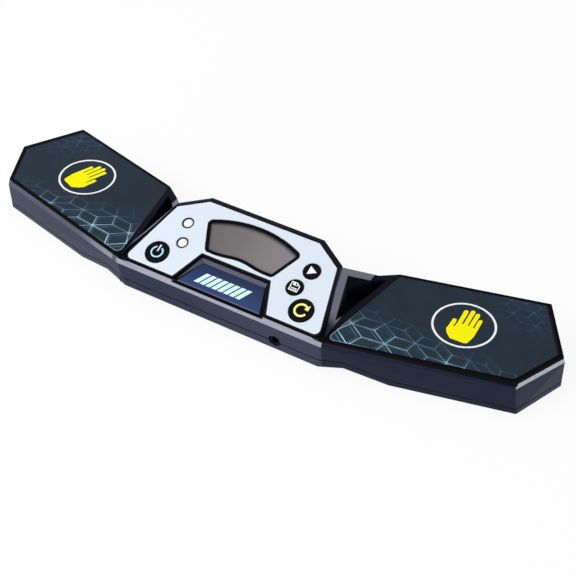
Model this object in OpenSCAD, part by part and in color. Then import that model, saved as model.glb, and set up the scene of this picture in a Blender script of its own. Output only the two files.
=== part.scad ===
// Two-handed speed cube timer: a raised console between two swept-back touch pads.
// Millimetres. X runs along the length, Y from front to back, Z up from the surface it stands on.
// Every "set" value is a distance behind the straight front edge of the body.

/* [Body] */
// Length over the two wing tips
body_length = 290; // [270:1:310]
// Depth from the front edge to the rear corners of the wings
body_depth = 72.8; // [70:0.2:78]
// Height of the flat wing border above the underside
pad_height = 18.9; // [17.5:0.1:21]
// Height at which the side walls turn into the top chamfer
wall_top = 15.4; // [14:0.1:16]
// Width of the chamfer round the wings
chamfer_w = 0.9; // [0.5:0.1:1.5]
// Thickness of the side walls
wall = 2; // [1.6:0.1:2.4]
// Thickness of the skins under the pads and the panel
skin = 1.6; // [1.2:0.1:2]
// Thickness of the floor of the base
floor_t = 1.8; // [1.6:0.1:2.2]

/* [Outline] */
// Half of the straight front edge
front_half = 53.3; // [52:0.1:55]
// Wing corner at the front of the tip, in from the tip
tip_front_in = 11.3; // [8:0.1:14]
// The same corner, behind the front edge
tip_front_set = 19.9; // [18:0.1:22]
// Outermost point of the wing, behind the front edge
tip_set = 44.8; // [42:0.1:48]
// Rear corner of the wing, in from the tip
tip_back_in = 17; // [12:0.5:20]
// Corner at the root of the wing, from the middle
root_back_x = 62; // [61:0.1:64]
// The same corner, behind the front edge
root_back_set = 56.2; // [55:0.1:58]
// Bottom of the valley between wing and console, out from the end of the front edge
valley_out = 0.6; // [0.5:0.1:1.5]
// The same point, in front of the root corner
valley_in = 6; // [5:0.1:7]
// How far the foot of the front wall is set in
front_lean = 1.4; // [0.5:0.1:2]
// How far the foot of the front corners is drawn to the middle
corner_lean = 2.2; // [0:0.1:2.5]
// How far the foot of the tip corner stands out and back
tip_lean = 1.4; // [0:0.1:2]

/* [Underside] */
// Height of the middle of the body above the wings
centre_lift = 1.9; // [1.5:0.1:2.5]
// Ends of the flat middle, in from the ends of the front edge
centre_in = 2.4; // [1.5:0.1:3]
// Height of the arch between middle and wing
arch_h = 4.8; // [4:0.1:5.2]
// Crown of the arch, out from the flat middle
arch_crown_out = 11.6; // [9:0.1:14]
// Length of the arch, from the flat middle outwards
arch_len = 31; // [29:0.1:32]
// Height of the parting line on the wings
seam_wing = 3; // [2.8:0.1:3.6]
// Height of the parting line over the arch
seam_arch = 8.3; // [8:0.1:8.6]
// Height of the parting line in the middle
seam_centre = 6.4; // [6:0.1:6.8]
// Open groove that shows as the parting line
seam_gap = 0.3; // [0.2:0.05:0.5]
// Height of the lip that centres the two shells
lip_h = 1.2; // [0.8:0.1:1.4]

/* [Console] */
// Slope of the console, in degrees
plate_tilt = 20.3; // [19.5:0.1:21]
// Height of the sloping plane at the front edge
plate_front_z = 17.6; // [17.3:0.1:18.2]
// Thickness of the printed panel
panel_t = 1; // [0.8:0.1:1.2]
// Front corners of the panel, in from the ends of the front edge
panel_front_in = 2; // [1.7:0.1:2.6]
// Front edge of the panel, up the slope
panel_front = 2.1; // [1.8:0.1:2.6]
// Shoulders of the panel, in from the ends of the front edge
panel_side_in = 10.7; // [10.3:0.1:11.5]
// The same corner, up the slope
panel_side = 35.1; // [34:0.1:35.4]
// Rear corners of the panel, in from its shoulders
panel_crown_in = 13.7; // [12.6:0.1:14.6]
// Rear edge of the panel, up the slope
panel_back = 43.7; // [43.4:0.1:44.2]
// Radius of the front corners of the panel
panel_corner_r = 2.6; // [1:0.1:4]
// Flat rim of the case round the panel
panel_rim = 0.9; // [0.6:0.1:1]
// Width of the bevel behind the panel
bevel_w = 3.1; // [2.6:0.1:3.6]
// Drop of that bevel below the sloping plane
bevel_drop = 1.2; // [0.8:0.1:1.6]
// Gap round each piece that is set into another
seat_gap = 0.15; // [0.1:0.05:0.25]

/* [Notch] */
// Front ends of the notch, in from the power and reset keys
notch_front_in = 13.8; // [12:0.1:15.5]
// Rear ends of the notch, in from the save key
notch_back_in = 12; // [11.5:0.1:13.5]
// Back of the notch, up the slope
notch_back = 17.5; // [16.5:0.1:17.8]
// How far the sloping walls of the notch draw in
notch_bevel = 1.9; // [1.2:0.1:2.2]
// Slope of the notch floor, in degrees
notch_tilt = 10.8; // [9:0.1:12]
// Height of the notch floor at the front edge
notch_z = 17.4; // [17:0.1:17.5]
// Thickness of the badge panel on that floor
badge_t = 0.8; // [0.5:0.1:1]

/* [Display] */
// Top corners of the display frame, in from the up key
window_top_in = 7.9; // [7.6:0.1:9.5]
// Bottom corners of the display frame, in from the save key
window_bottom_in = 11.9; // [11.5:0.1:13.5]
// Top corners of the display frame, up the slope
window_top = 34.9; // [33:0.1:35.2]
// Bottom corners of the display frame, up the slope
window_bottom = 19.9; // [19.3:0.1:20.5]
// Rise of the curved top edge
window_top_rise = 5.6; // [4:0.1:5.8]
// Rise of the curved bottom edge
window_bottom_rise = 1.4; // [0.5:0.1:2.2]
// Radius of the corners of the display frame
window_corner_r = 2.5; // [1.8:0.1:2.6]
// Width of the black display frame
frame_w = 1.4; // [1:0.1:1.6]
// Height of the display frame above the panel
frame_proud = 0.15; // [0:0.05:0.3]
// Thickness of the clear window
lens_t = 0.8; // [0.6:0.1:0.9]
// Thickness of the display glass
glass_t = 2.2; // [1.8:0.1:2.3]

/* [Keys] */
// Radius of the power and reset keys
big_key_r = 5.6; // [5.2:0.1:5.8]
// Radius of the up and save keys
small_key_r = 4; // [3.6:0.1:4.2]
// Height of the key tops above the panel
key_proud = 0.4; // [0.3:0.1:1]
// Travel of a key
key_travel = 0.5; // [0.3:0.05:0.6]
// Running gap round a key
key_gap = 0.14; // [0.1:0.01:0.2]
// Width of the flange that holds a key under the case
key_flange_w = 0.9; // [0.6:0.1:0.95]
// Power and reset keys, in from the front corners of the panel
big_key_in = 13.6; // [12.8:0.1:14.2]
// Power and reset keys, up the slope
big_key_v = 10.7; // [10:0.1:11]
// Save key and lower light, in from the shoulders of the panel
lower_in = 13.1; // [12.6:0.1:13.6]
// Save key and lower light, up the slope
lower_v = 19.6; // [19.4:0.1:20]
// Up key and upper light, in from the shoulders of the panel
upper_in = 10; // [9.4:0.1:10.6]
// Up key and upper light, up the slope
upper_v = 29.7; // [29.5:0.1:30.2]
// Radius of a signal light
light_r = 2.3; // [1.8:0.1:2.5]
// Wall of the black sleeve round a light
sleeve_w = 0.5; // [0.4:0.1:0.7]

/* [Board] */
// Depth of the board's top face below the sloping plane
board_depth = 6.6; // [6.5:0.05:6.65]
// Thickness of the board
board_t = 1.6; // [1.4:0.1:1.6]
// Front edge of the board, up the slope
board_front = 3; // [2.8:0.1:4]
// Front corners of the board, in from the ends of the front edge
board_front_in = 5.6; // [5.4:0.1:6]
// Shoulders of the board, in from those of the panel
board_side_in = 2.2; // [2:0.1:3]
// The same corners, down the slope from those of the panel
board_side_down = 4.1; // [3.9:0.1:5]
// Rear corners of the board, out from those of the panel
board_back_out = 2.7; // [2.4:0.1:2.8]
// Back edge of the board, down the slope from that of the panel
board_back_down = 3.9; // [3.7:0.1:4.2]
// Radius of the threaded part of a board screw
board_screw_r = 0.8; // [0.7:0.05:0.9]

/* [Pads] */
// Width of the black border round a pad
border_w = 1.3; // [1:0.1:1.6]
// Inner edge of the pad at the front, out from the end of the front edge
pad_front_out = 0.1; // [0:0.1:0.6]
// Inner edge of the pad at the back, out from the root corner
pad_root_out = 0.9; // [0.5:0.1:2]
// Depth of the printed film below the border
film_drop = 0.2; // [0.1:0.05:0.4]
// Thickness of the printed film
film_t = 0.3; // [0.2:0.05:0.5]
// Thickness of the metal sensor plate under the film
sensor_t = 0.8; // [0.5:0.1:1]
// Radius of the corners of the pad
pad_corner_r = 2; // [1:0.1:3]
// Width of the rim round the three-cornered pocket
pocket_rim = 2.8; // [2.4:0.1:3.2]
// Height of the pocket floor above the underside
pocket_floor = 10.5; // [10.3:0.1:11.5]

/* [Power] */
// Radius of a battery cell
cell_r = 5.25; // [5:0.05:5.25]
// Length of a battery cell with its contact
cell_len = 44.5; // [43.5:0.5:45]
// Free space round a cell
cell_gap = 0.25; // [0.2:0.05:0.3]
// Length of a contact spring under the cell's load
spring_len = 3.4; // [3:0.1:4]
// Radius of the spring wire
spring_wire_r = 0.3; // [0.2:0.05:0.35]
// Thickness of the contact plates
contact_t = 0.4; // [0.3:0.1:0.5]
// Wall of the battery box
box_wall = 1.2; // [1:0.1:1.4]
// Thickness of the battery cover
cover_t = 1.6; // [1.4:0.1:1.6]
// Sliding gap round the cover
cover_gap = 0.3; // [0.2:0.05:0.35]
// Width of the tongues along the cover
tongue_w = 1.2; // [0.8:0.1:1.5]

/* [Jack] */
// Centre of the jack, from the middle
jack_x = 29.8; // [28:0.1:31]
// Centre of the jack above the underside
jack_z = 6.9; // [6.8:0.1:7.2]
// Radius of the bore that takes the plug
jack_bore_r = 1.8; // [1.76:0.01:1.82]
// Depth of that bore
jack_bore_len = 13; // [12:0.1:13.4]
// Width and height of the jack housing
jack_body = 6; // [5.6:0.1:6.2]
// Radius of the collar in the case
jack_collar_r = 2.7; // [2.4:0.1:2.8]
// Radius of the hole in the case
jack_hole_r = 3; // [2.9:0.1:3.1]

/* [Screws and feet] */
// Radius of the threaded part of a case screw
screw_r = 1; // [0.9:0.05:1.2]
// Radius of the head of a case screw
screw_head_r = 2.2; // [2:0.1:2.4]
// Height of the head of a case screw
screw_head_h = 1.6; // [1.2:0.1:2]
// Height of the joint between lower and upper screw posts
post_split = 7; // [6.5:0.1:7.5]
// Wall of a screw post
post_wall = 1.3; // [1:0.1:1.5]
// Radius of a rubber foot
foot_r = 5; // [4:0.5:6]
// Thickness of a rubber foot
foot_t = 1.2; // [1:0.1:1.5]
// How far a foot stands out of the base
foot_proud = 0.6; // [0.4:0.1:0.8]

/* [Hidden] */
$fn = 48;
sheet = 0.01;                       // thickness of the slices that a hull joins
far = 400;                          // longer than anything in the model
depth_cos = cos(plate_tilt);
depth_sin = sin(plate_tilt);

// Shells
ceiling = pad_height - film_drop - film_t - sensor_t - skin;
tip_front_x = body_length / 2 - tip_front_in;
tip_back_x = body_length / 2 - tip_back_in;
valley_x = front_half + valley_out;
valley_set = root_back_set - valley_in;
centre_half = front_half - centre_in;
arch_x = centre_half + arch_crown_out;
arch_end_x = centre_half + arch_len;
panel_front_half = front_half - panel_front_in;
panel_side_x = front_half - panel_side_in;
panel_crown_x = panel_side_x - panel_crown_in;
big_key_x = panel_front_half - big_key_in;
lower_x = panel_side_x - lower_in;
upper_x = panel_side_x - upper_in;
window_top_half = upper_x - window_top_in;
window_bottom_half = lower_x - window_bottom_in;
window_lobe = window_bottom_half - 5; // half length of the rise of the bottom edge
notch_front_half = big_key_x - notch_front_in;
notch_back_half = lower_x - notch_back_in;
side_bevel = 0.7;                   // width of the bevel beside the panel
shoulder_x = panel_side_x + side_bevel;
shoulder_set = panel_side * depth_cos + bevel_w;
crown_x = panel_crown_x + side_bevel;
crown_set = panel_back * depth_cos + bevel_w;
wing_top = [
  [front_half, 0], [tip_front_x, tip_front_set], [body_length / 2, tip_set],
  [tip_back_x, body_depth], [root_back_x, root_back_set], [valley_x, valley_set]
];
wing_foot = [
  [front_half - corner_lean, front_lean], [tip_front_x + tip_lean, tip_front_set + tip_lean],
  [body_length / 2, tip_set + tip_lean], [tip_back_x, body_depth],
  [root_back_x, root_back_set], [valley_x, valley_set]
];
console_back = [[shoulder_x, shoulder_set], [crown_x, crown_set]];
console_foot = both_sides(concat([[front_half - corner_lean, front_lean]], console_back));
root_x = shoulder_x - 2;            // how far the wings reach into the console
pad_inner_front_x = front_half + pad_front_out;
pad_inner_back_x = root_back_x + pad_root_out;
valley = [
  [shoulder_x, shoulder_set], [valley_x + 0.5, valley_set - 0.4],
  [pad_inner_back_x, root_back_set - chamfer_w - border_w], [pad_inner_front_x - 0.4, 1.2]
];
inner_back = crown_set - wall;      // inside face of the rear wall

// Display, keys and board, as depths below the sloping plane
skin_under = panel_t + skin;
flange_top = skin_under + 0.2;      // the flange hangs 0.2 under the skin
flange_t = 0.8;
plunger_top = flange_top + flange_t + 0.3;
switch_top = board_depth - 1.9;     // low switches, 1.9 tall
plunger_r = 1.6;
board_under = board_depth + board_t;
board_front_half = front_half - board_front_in;
board_side_x = panel_side_x - board_side_in;
board_side = panel_side - board_side_down;
board_back_half = panel_crown_x + board_back_out;
board_back = panel_back - board_back_down;
board_outline = both_sides([
  [board_front_half, board_front], [board_side_x, board_side], [board_back_half, board_back]
]);
board_posts = [
  [board_front_half - 2.5, board_front + 2.6], [board_back_half - 3, board_back - 2.2]
];
post_r = 2;
keys = [
  [-big_key_x, big_key_v, big_key_r], [big_key_x, big_key_v, big_key_r],
  [upper_x, upper_v, small_key_r], [lower_x, lower_v, small_key_r]
];
lights = [[-upper_x, upper_v], [-lower_x, lower_v]];

// Battery box, with the front cell's contact towards +X and the rear cell's towards -X
box_half = (cell_len + spring_len) / 2 + contact_t;
box_rear = 0.9;                     // rear wall of the box
box_top_t = 0.9;                    // wall over the cells
cell_pitch = 2 * cell_r + cell_gap;
box_front = inner_back - seat_gap - box_rear - 2 * cell_gap - cell_pitch - 2 * cell_r;
front_cell_set = box_front + cell_gap + cell_r;
rear_cell_set = front_cell_set + cell_pitch;
box_back = rear_cell_set + cell_r + cell_gap;
cell_z = centre_lift + floor_t + cell_r;
box_ceiling = cell_z + cell_r + cell_gap;
cover_half = box_half + box_wall + 1.2;
cover_front = box_front - 1.1;      // the cover is larger than the hollow it closes
cover_top = centre_lift + cover_t;
flange_h = 1.6;
flange_out = 1.8;

// Jack, screws, feet and leads
jack_face = front_lean + wall + seat_gap;
jack_front = jack_face - wall;      // the collar fills the thickness of the wall
jack_back = jack_front + jack_bore_len + 0.8;
head_gap = 0.3;                     // free space round a screw head
post_outer = screw_head_r + head_gap + post_wall;
screw_places = [[88, 54.5], [92, 20], [129, 45]];
screw_head_z = post_split - 2;      // underside of the web that the head pulls on
screw_len = 8;
foot_places = [[108, 31], [124, 60], [98, 56]];
lead_r = 0.6;
sensor_tab = [root_back_x + 10, valley_set - 12.2];
tab_r = 1.2;
tab_h = 1.2;                        // the tab stands this far into the wing
lead_low = pocket_floor - skin - 1.6;   // the lead passes below the pocket
lead_end = [board_side_x + 1.2, sensor_tab.y - 12.5];
lead_route = [
  [sensor_tab.x, sensor_tab.y, ceiling - tab_h],
  [sensor_tab.x - 0.2, sensor_tab.y, ceiling - tab_h - 1.2],
  [sensor_tab.x - 6, sensor_tab.y - 5, ceiling - 3.5],
  [sensor_tab.x - 11, sensor_tab.y - 8, lead_low + 0.8],
  [valley_x + 3.1, sensor_tab.y - 9, lead_low],
  [valley_x - 3.9, sensor_tab.y - 10, lead_low],
  [lead_end.x + 4, sensor_tab.y - 11, lead_low - 0.3],
  [lead_end.x + 0.2, lead_end.y + 0.2, lead_low + 0.3],
  [lead_end.x, lead_end.y, board_z(lead_end.y - lead_r)]
];
jack_lead_places = [-1.6, 0, 1.6];
jack_lead_r = 0.3;
power_lead_r = 0.5;

// ---------------------------------------------------------------- helpers

// The points given for the right half, followed by their mirror images
function both_sides(points) = concat(
  points, [for (i = [len(points) - 1 : -1 : 0]) [-points[i].x, points[i].y]]
);

// Height of the board's underside at a distance behind the front edge
function board_z(set) = plate_front_z + set * tan(plate_tilt) - board_under / depth_cos;

// Height of the sloping plane, less a depth square to it, at a distance behind the front edge
function plane_z(set, depth) = plate_front_z + set * tan(plate_tilt) - depth / depth_cos;

function unit(v) = v / norm(v);

// Points of the arc of radius r that rounds corner b between its neighbours a and c
function fillet(a, b, c, r, steps = 6) =
  let (
    u = unit(a - b),
    w = unit(c - b),
    half = acos(u * w) / 2,
    centre = b + unit(u + w) * r / sin(half),
    first = b + u * r / tan(half) - centre,
    last = b + w * r / tan(half) - centre,
    start = atan2(first.y, first.x),
    turn = (atan2(last.y, last.x) - start + 540) % 360 - 180
  )
  [for (i = [0 : steps]) centre + r * [cos(start + turn * i / steps), sin(start + turn * i / steps)]];

// Points of a shallow arc from a to b, both on one level, that rises by h in the middle
function bow(a, b, h, steps = 16) =
  let (
    half = (b.x - a.x) / 2,
    r = (half * half + h * h) / (2 * h),
    reach = asin(half / r)
  )
  [for (i = [0 : steps])
    let (turn = reach * (2 * i / steps - 1))
    [(a.x + b.x) / 2 + r * sin(turn), a.y + h - r * (1 - cos(turn))]];

// Everything is drawn from the middle of the front edge, at the height of the underside
module body() translate([0, -body_depth / 2, foot_proud]) children();

// The sloping plane: local Y runs up the slope, local Z is square to it
module on_plate(depth = 0) translate([0, 0, plate_front_z]) rotate([plate_tilt, 0, 0])
  translate([0, 0, -depth]) children();

// The floor of the notch, with the same local axes
module on_notch() translate([0, 0, notch_z]) rotate([notch_tilt, 0, 0]) children();

module right_and_left() {
  children();
  mirror([1, 0, 0]) children();
}

// Space under a profile drawn across the body: heights on the wings, over the arch, in the middle
module under(wing_h, crown_h, centre_h) {
  half = [[centre_half, centre_h], [arch_x, crown_h], [arch_end_x, wing_h], [far, wing_h], [far, -far]];
  translate([0, far, 0]) rotate([90, 0, 0]) linear_extrude(2 * far)
    polygon(concat([for (p = half) p], [for (i = [len(half) - 1 : -1 : 0]) [-half[i].x, half[i].y]]));
}

module under_base(up = 0) under(up, arch_h + up, centre_lift + up);

module under_seam(up = 0) under(seam_wing + up, seam_arch + up, seam_centre + up);

// A lead of radius r along its points, none of whose runs lies along Y: one ring at each point
module wire(points, r, sides = 8) {
  last = len(points) - 1;
  rings = [for (i = [0 : last], s = [0 : sides - 1])
    let (
      along = unit(points[min(i + 1, last)] - points[max(i - 1, 0)]),
      across = unit(cross(along, [0, 1, 0])),
      up = cross(across, along)
    )
    points[i] + r * (cos(360 * s / sides) * across + sin(360 * s / sides) * up)];
  polyhedron(points = rings, faces = concat(
    [[for (s = [sides - 1 : -1 : 0]) s]],
    [for (i = [0 : last - 1], s = [0 : sides - 1])
      let (a = i * sides + s, b = i * sides + (s + 1) % sides) [a, b, b + sides, a + sides]],
    [[for (s = [0 : sides - 1]) last * sides + s]]
  ));
}

// ---------------------------------------------------------------- outer form

module wing_top_2d() intersection() {
  offset(delta = -chamfer_w) polygon(concat([[0, 0]], wing_top, [[0, valley_set]]));
  polygon(wing_top);
}

// The foot and the wall of the wing reach into the console by a root, so that the two blend
module wing_form() hull() {
  linear_extrude(sheet) polygon(concat(wing_foot, [[root_x, shoulder_set], [root_x, front_lean]]));
  translate([0, 0, wall_top]) linear_extrude(sheet)
    polygon(concat(wing_top, [[root_x, shoulder_set], [root_x, 0]]));
  translate([0, 0, pad_height - sheet]) linear_extrude(sheet) wing_top_2d();
}

module panel_2d() polygon(both_sides(concat(
  [[notch_front_half, panel_front]],
  fillet([0, panel_front], [panel_front_half, panel_front], [panel_side_x, panel_side], panel_corner_r),
  [[panel_side_x, panel_side], [panel_crown_x, panel_back]]
)));

// Outer edge of the console on a plane at a depth below the slope
function edge_v(set, depth) = (set - depth * depth_sin) / depth_cos;

module console_form() hull() {
  linear_extrude(sheet) polygon(console_foot);
  translate([0, 0, wall_top]) linear_extrude(sheet)
    polygon(both_sides([[front_half, 0], [shoulder_x, shoulder_set], [crown_x, crown_set]]));
  on_plate(bevel_drop) linear_extrude(sheet) polygon(both_sides([
    [shoulder_x, edge_v(shoulder_set, bevel_drop)], [crown_x, edge_v(crown_set, bevel_drop)]
  ]));
  on_plate(sheet) linear_extrude(sheet) offset(delta = panel_rim) panel_2d();
}

// Facet that falls from the shoulder of the console to the valley
module flank_form() {
  low = [valley_x + 0.6, valley_set - 0.5];
  front = [front_half + 0.4, 1.2];
  ridge = [shoulder_x - 0.4, shoulder_set - 0.6];
  top = [
    [ridge.x, ridge.y, plane_z(ridge.y, bevel_drop)], [low.x, low.y, pad_height],
    [front.x, front.y, pad_height - 0.6]
  ];
  polyhedron(
    points = concat([for (p = top) [p.x, p.y, 1]], top),
    faces = [[2, 1, 0], [3, 4, 5], [0, 1, 4, 3], [1, 2, 5, 4], [2, 0, 3, 5]]
  );
}

module outer_form() {
  console_form();
  right_and_left() {
    wing_form();
    flank_form();
  }
}

module full_2d() intersection() {
  polygon(both_sides(concat(wing_top, console_back)));
  polygon(both_sides(concat(wing_foot, console_back)));
}

module inner_2d() offset(delta = -wall) full_2d();

module pocket_2d() offset(delta = -pocket_rim) polygon(valley);

module notch_2d(grow = 0) offset(delta = grow) polygon(both_sides([
  [notch_front_half + (notch_front_half - notch_back_half) * 0.5, panel_front - notch_back * 0.5],
  [notch_back_half, notch_back]
]));

// The badge panel lies on the notch floor, drawn in from the notch's edges
module badge_2d(gap = 0) intersection() {
  offset(delta = -notch_bevel - gap) notch_2d();
  translate([-far / 2, front_lean + gap]) square(far);
}

// ---------------------------------------------------------------- upper case

// Hollow inside the upper shell
module upper_cavity() difference() {
  union() {
    linear_extrude(pocket_floor - skin) inner_2d();
    right_and_left() linear_extrude(ceiling) offset(delta = -wall) intersection() {
      polygon(wing_top);
      polygon(wing_foot);
    }
    intersection() {
      linear_extrude(far) offset(delta = -wall) polygon(console_foot);
      on_plate(skin_under) translate([-far / 2, -far / 2, -far]) cube(far);
    }
  }
  right_and_left() translate([0, 0, pocket_floor - skin]) linear_extrude(far)
    offset(delta = wall) pocket_2d();
  on_notch() translate([0, 0, -badge_t - skin]) linear_extrude(far) notch_2d(grow = wall);
}

module window_2d(inset = 0) offset(r = window_corner_r - inset) offset(delta = -window_corner_r)
  polygon(concat(
    [for (i = [-16 : 16]) [i / 16 * window_bottom_half, window_bottom + window_bottom_rise
      * pow(cos(90 * min(1, abs(i) / 16 * window_bottom_half / window_lobe)), 2)]],
    [for (i = [16 : -1 : 0]) bow([-window_top_half, window_top], [window_top_half, window_top],
      window_top_rise)[i]]
  ));

module notch_cut() {
  hull() {
    on_plate() linear_extrude(far / 8) notch_2d();
    on_notch() linear_extrude(sheet) offset(delta = -notch_bevel) notch_2d();
  }
  on_notch() translate([0, 0, -badge_t]) linear_extrude(far / 8) badge_2d();
}

module upper_case() color("#3a3a4c") body() {
  difference() {
    outer_form();
    under_seam(seam_gap);
    upper_cavity();
    intersection() {                     // room for the lip of the base
      linear_extrude(far) offset(delta = -wall / 2) full_2d();
      under_seam(lip_h + 0.3);
    }
    notch_cut();
    on_plate(panel_t) linear_extrude(far / 8) offset(delta = seat_gap) panel_2d();
    on_plate(skin_under + 1) linear_extrude(far / 8) window_2d(inset = frame_w + 1);
    for (k = keys) on_plate(skin_under + 1) translate([k.x, k.y, 0])
      cylinder(h = far / 8, r = k.z + key_gap);
    for (p = lights) on_plate(skin_under + 1) translate([p.x, p.y, 0])
      cylinder(h = far / 8, r = light_r + sleeve_w + seat_gap);
    right_and_left() {
      translate([0, 0, pocket_floor]) linear_extrude(far) pocket_2d();
      translate([0, 0, pad_height - film_drop - film_t - sensor_t]) linear_extrude(far) pad_2d();
      translate([sensor_tab.x, sensor_tab.y, 0]) cylinder(h = pad_height, r = tab_r + seat_gap);
    }
    jack_hole();
  }
  right_and_left() {
    for (p = screw_places) difference() {
      translate([p.x, p.y, post_split]) cylinder(h = ceiling - post_split + 0.2, r = screw_r + post_wall);
      translate([p.x, p.y, post_split - 1]) cylinder(h = screw_len, r = screw_r + 0.05);
    }
    for (p = board_posts) on_plate(board_depth) translate([p.x, p.y, 0]) difference() {
      cylinder(h = board_depth - skin_under + 0.2, r = post_r);
      translate([0, 0, -1]) cylinder(h = board_depth - skin_under + 0.2, r = board_screw_r + 0.05);
    }
  }
}

module jack_hole() translate([jack_x, jack_face, jack_z]) rotate([90, 0, 0])
  cylinder(h = far, r = jack_hole_r);

// ---------------------------------------------------------------- base case

module cover_opening() {
  wide = cover_half + cover_gap;
  translate([-wide, cover_front - cover_gap, -far / 2])
    cube([2 * wide, far, far / 2 + centre_lift + cover_t / 2 - cover_gap + seat_gap]);
  translate([-wide - tongue_w, cover_front - cover_gap, centre_lift + cover_t / 2 - cover_gap])
    cube([2 * (wide + tongue_w), far, cover_t / 2 + 2 * cover_gap]);
}

module battery_box() difference() {
  union() {
    translate([-box_half - box_wall, box_front - box_wall, centre_lift + floor_t])
      cube([2 * (box_half + box_wall), inner_back - seat_gap - box_front + box_wall,
        box_ceiling + box_top_t - centre_lift - floor_t]);
    translate([-cover_half - tongue_w - cover_gap - flange_out, cover_front - cover_gap - flange_out,
      centre_lift + floor_t - 0.1])
      cube([2 * (cover_half + tongue_w + cover_gap + flange_out),
        inner_back - seat_gap - cover_front + cover_gap + flange_out, flange_h]);
  }
  translate([-box_half, box_front, 0]) cube([2 * box_half, box_back - box_front, box_ceiling]);
}

module base_case() color("#34344a") body() difference() {
  union() {
    difference() {
      intersection() {
        outer_form();
        under_seam();
      }
      difference() {
        linear_extrude(far) inner_2d();
        under_base(floor_t);
      }
    }
    difference() {                       // lip that centres the upper shell
      linear_extrude(far / 8) difference() {
        offset(delta = -wall / 2 - seat_gap) full_2d();
        offset(delta = -wall) full_2d();
      }
      difference() {
        translate([-far, -far, -far]) cube(2 * far);
        under_seam(lip_h);
      }
    }
    battery_box();
    right_and_left() for (p = screw_places) translate([p.x, p.y, 0])
      cylinder(h = post_split, r = post_outer);
    jack_cradle();
  }
  under_base();
  cover_opening();
  translate([-cover_half - cover_gap, inner_back - seat_gap, 0])
    cube([2 * (cover_half + cover_gap), far, far]);
  right_and_left() {
    for (p = screw_places) translate([p.x, p.y, 0]) {
      translate([0, 0, -1]) cylinder(h = screw_head_z + 1, r = screw_head_r + head_gap);
      cylinder(h = far, r = screw_r + 0.35);
    }
    for (p = foot_places) translate([p.x, p.y, -1])
      cylinder(h = foot_t - foot_proud + 1, r = foot_r + seat_gap);
  }
  jack_hole();
}

// Seat of the jack: a step under it and a cheek on each side
module jack_cradle() {
  half = jack_body / 2 + seat_gap;
  translate([jack_x - half - box_wall, jack_face, centre_lift])
    cube([2 * (half + box_wall), jack_back - jack_face, jack_z - jack_body / 2 - centre_lift]);
  for (side = [-1, 1]) translate([jack_x + side * (half + box_wall / 2), (jack_face + jack_back) / 2,
    (centre_lift + jack_z) / 2])
    cube([box_wall, jack_back - jack_face, jack_z - centre_lift], center = true);
}

// ---------------------------------------------------------------- console

module console_panel() color("#e2eafa") body() on_plate(panel_t) linear_extrude(panel_t) difference() {
  panel_2d();
  notch_2d(grow = seat_gap);
  offset(delta = seat_gap) window_2d();
  for (k = keys) translate([k.x, k.y]) circle(k.z + key_gap);
  for (p = lights) translate(p) circle(light_r + sleeve_w + seat_gap);
}

module display_frame() color("#0c0d12") body() on_plate(panel_t)
  linear_extrude(panel_t + frame_proud) difference() {
    window_2d();
    window_2d(inset = frame_w);
  }

module display_window() color("#8a8582") body() on_plate(panel_t) linear_extrude(lens_t)
  window_2d(inset = frame_w + seat_gap);

module display_glass() color("#6f6b68") body() on_plate(skin_under + 0.1 + glass_t)
  linear_extrude(glass_t) window_2d();

// Two rubber strips that carry the display's signals to the board
module display_connector() color("#c9a7a0") body() on_plate(board_depth) {
  strip = board_depth - skin_under - 0.1 - glass_t;
  translate([-window_bottom_half + 3, window_bottom + window_bottom_rise + 1, 0])
    cube([2 * window_bottom_half - 6, 2.2, strip]);
  translate([-window_bottom_half, window_top - 1, 0]) cube([2 * window_bottom_half, 2.2, strip]);
}

module badge_panel() color("#2d3c69") body() on_notch() translate([0, 0, -badge_t])
  linear_extrude(badge_t) badge_2d(gap = seat_gap);

// Key cap with its flange and the short stem that meets the plunger
module key_at(k) body() on_plate() translate([k.x, k.y, 0]) {
  translate([0, 0, -flange_top]) cylinder(h = flange_top + key_proud, r = k.z);
  translate([0, 0, -flange_top - flange_t]) cylinder(h = flange_t, r = k.z + key_flange_w);
  translate([0, 0, -plunger_top]) cylinder(h = 1, r = plunger_r);
}

module plunger_at(k) body() on_plate() translate([k.x, k.y, 0])
  translate([0, 0, -switch_top - 0.7]) cylinder(h = switch_top + 0.7 - plunger_top, r = plunger_r);

module power_key() color("#101216") key_at(keys[0]);
module reset_key() color("#101216") key_at(keys[1]);
module up_key() color("#101216") key_at(keys[2]);
module save_key() color("#101216") key_at(keys[3]);
module power_plunger() color("#26262a") plunger_at(keys[0]);
module reset_plunger() color("#26262a") plunger_at(keys[1]);
module up_plunger() color("#26262a") plunger_at(keys[2]);
module save_plunger() color("#26262a") plunger_at(keys[3]);

// Push switches on the board, one under each key
module switch_bodies() color("#b9bcc2") body() for (k = keys) on_plate(board_depth)
  translate([k.x, k.y, 0]) difference() {
    translate([-3, -3, 0]) cube([6, 6, board_depth - switch_top]);
    translate([0, 0, board_depth - switch_top - 0.7 - key_travel - 0.2])
      cylinder(h = 9, r = plunger_r + 0.1);
  }

// A signal light: its lens, its foot and two legs that stand on the board
module light_at(p) body() on_plate(board_depth) translate([p.x, p.y, 0]) {
  translate([0, 0, board_depth - 4.2]) cylinder(h = 4.2, r = light_r);
  for (side = [-1, 1]) translate([side * 1.27, 0, 0]) cylinder(h = board_depth - 4, r = 0.25);
}

module upper_light() color("#f6f8fb") light_at(lights[0]);
module lower_light() color("#f6f8fb") light_at(lights[1]);

module light_sleeves() color("#0c0d12") body() for (p = lights) on_plate(skin_under)
  translate([p.x, p.y, 0]) difference() {
    cylinder(h = skin_under + 0.1, r = light_r + sleeve_w);
    translate([0, 0, -1]) cylinder(h = far / 8, r = light_r + 0.02);
  }

// ---------------------------------------------------------------- electronics

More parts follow.
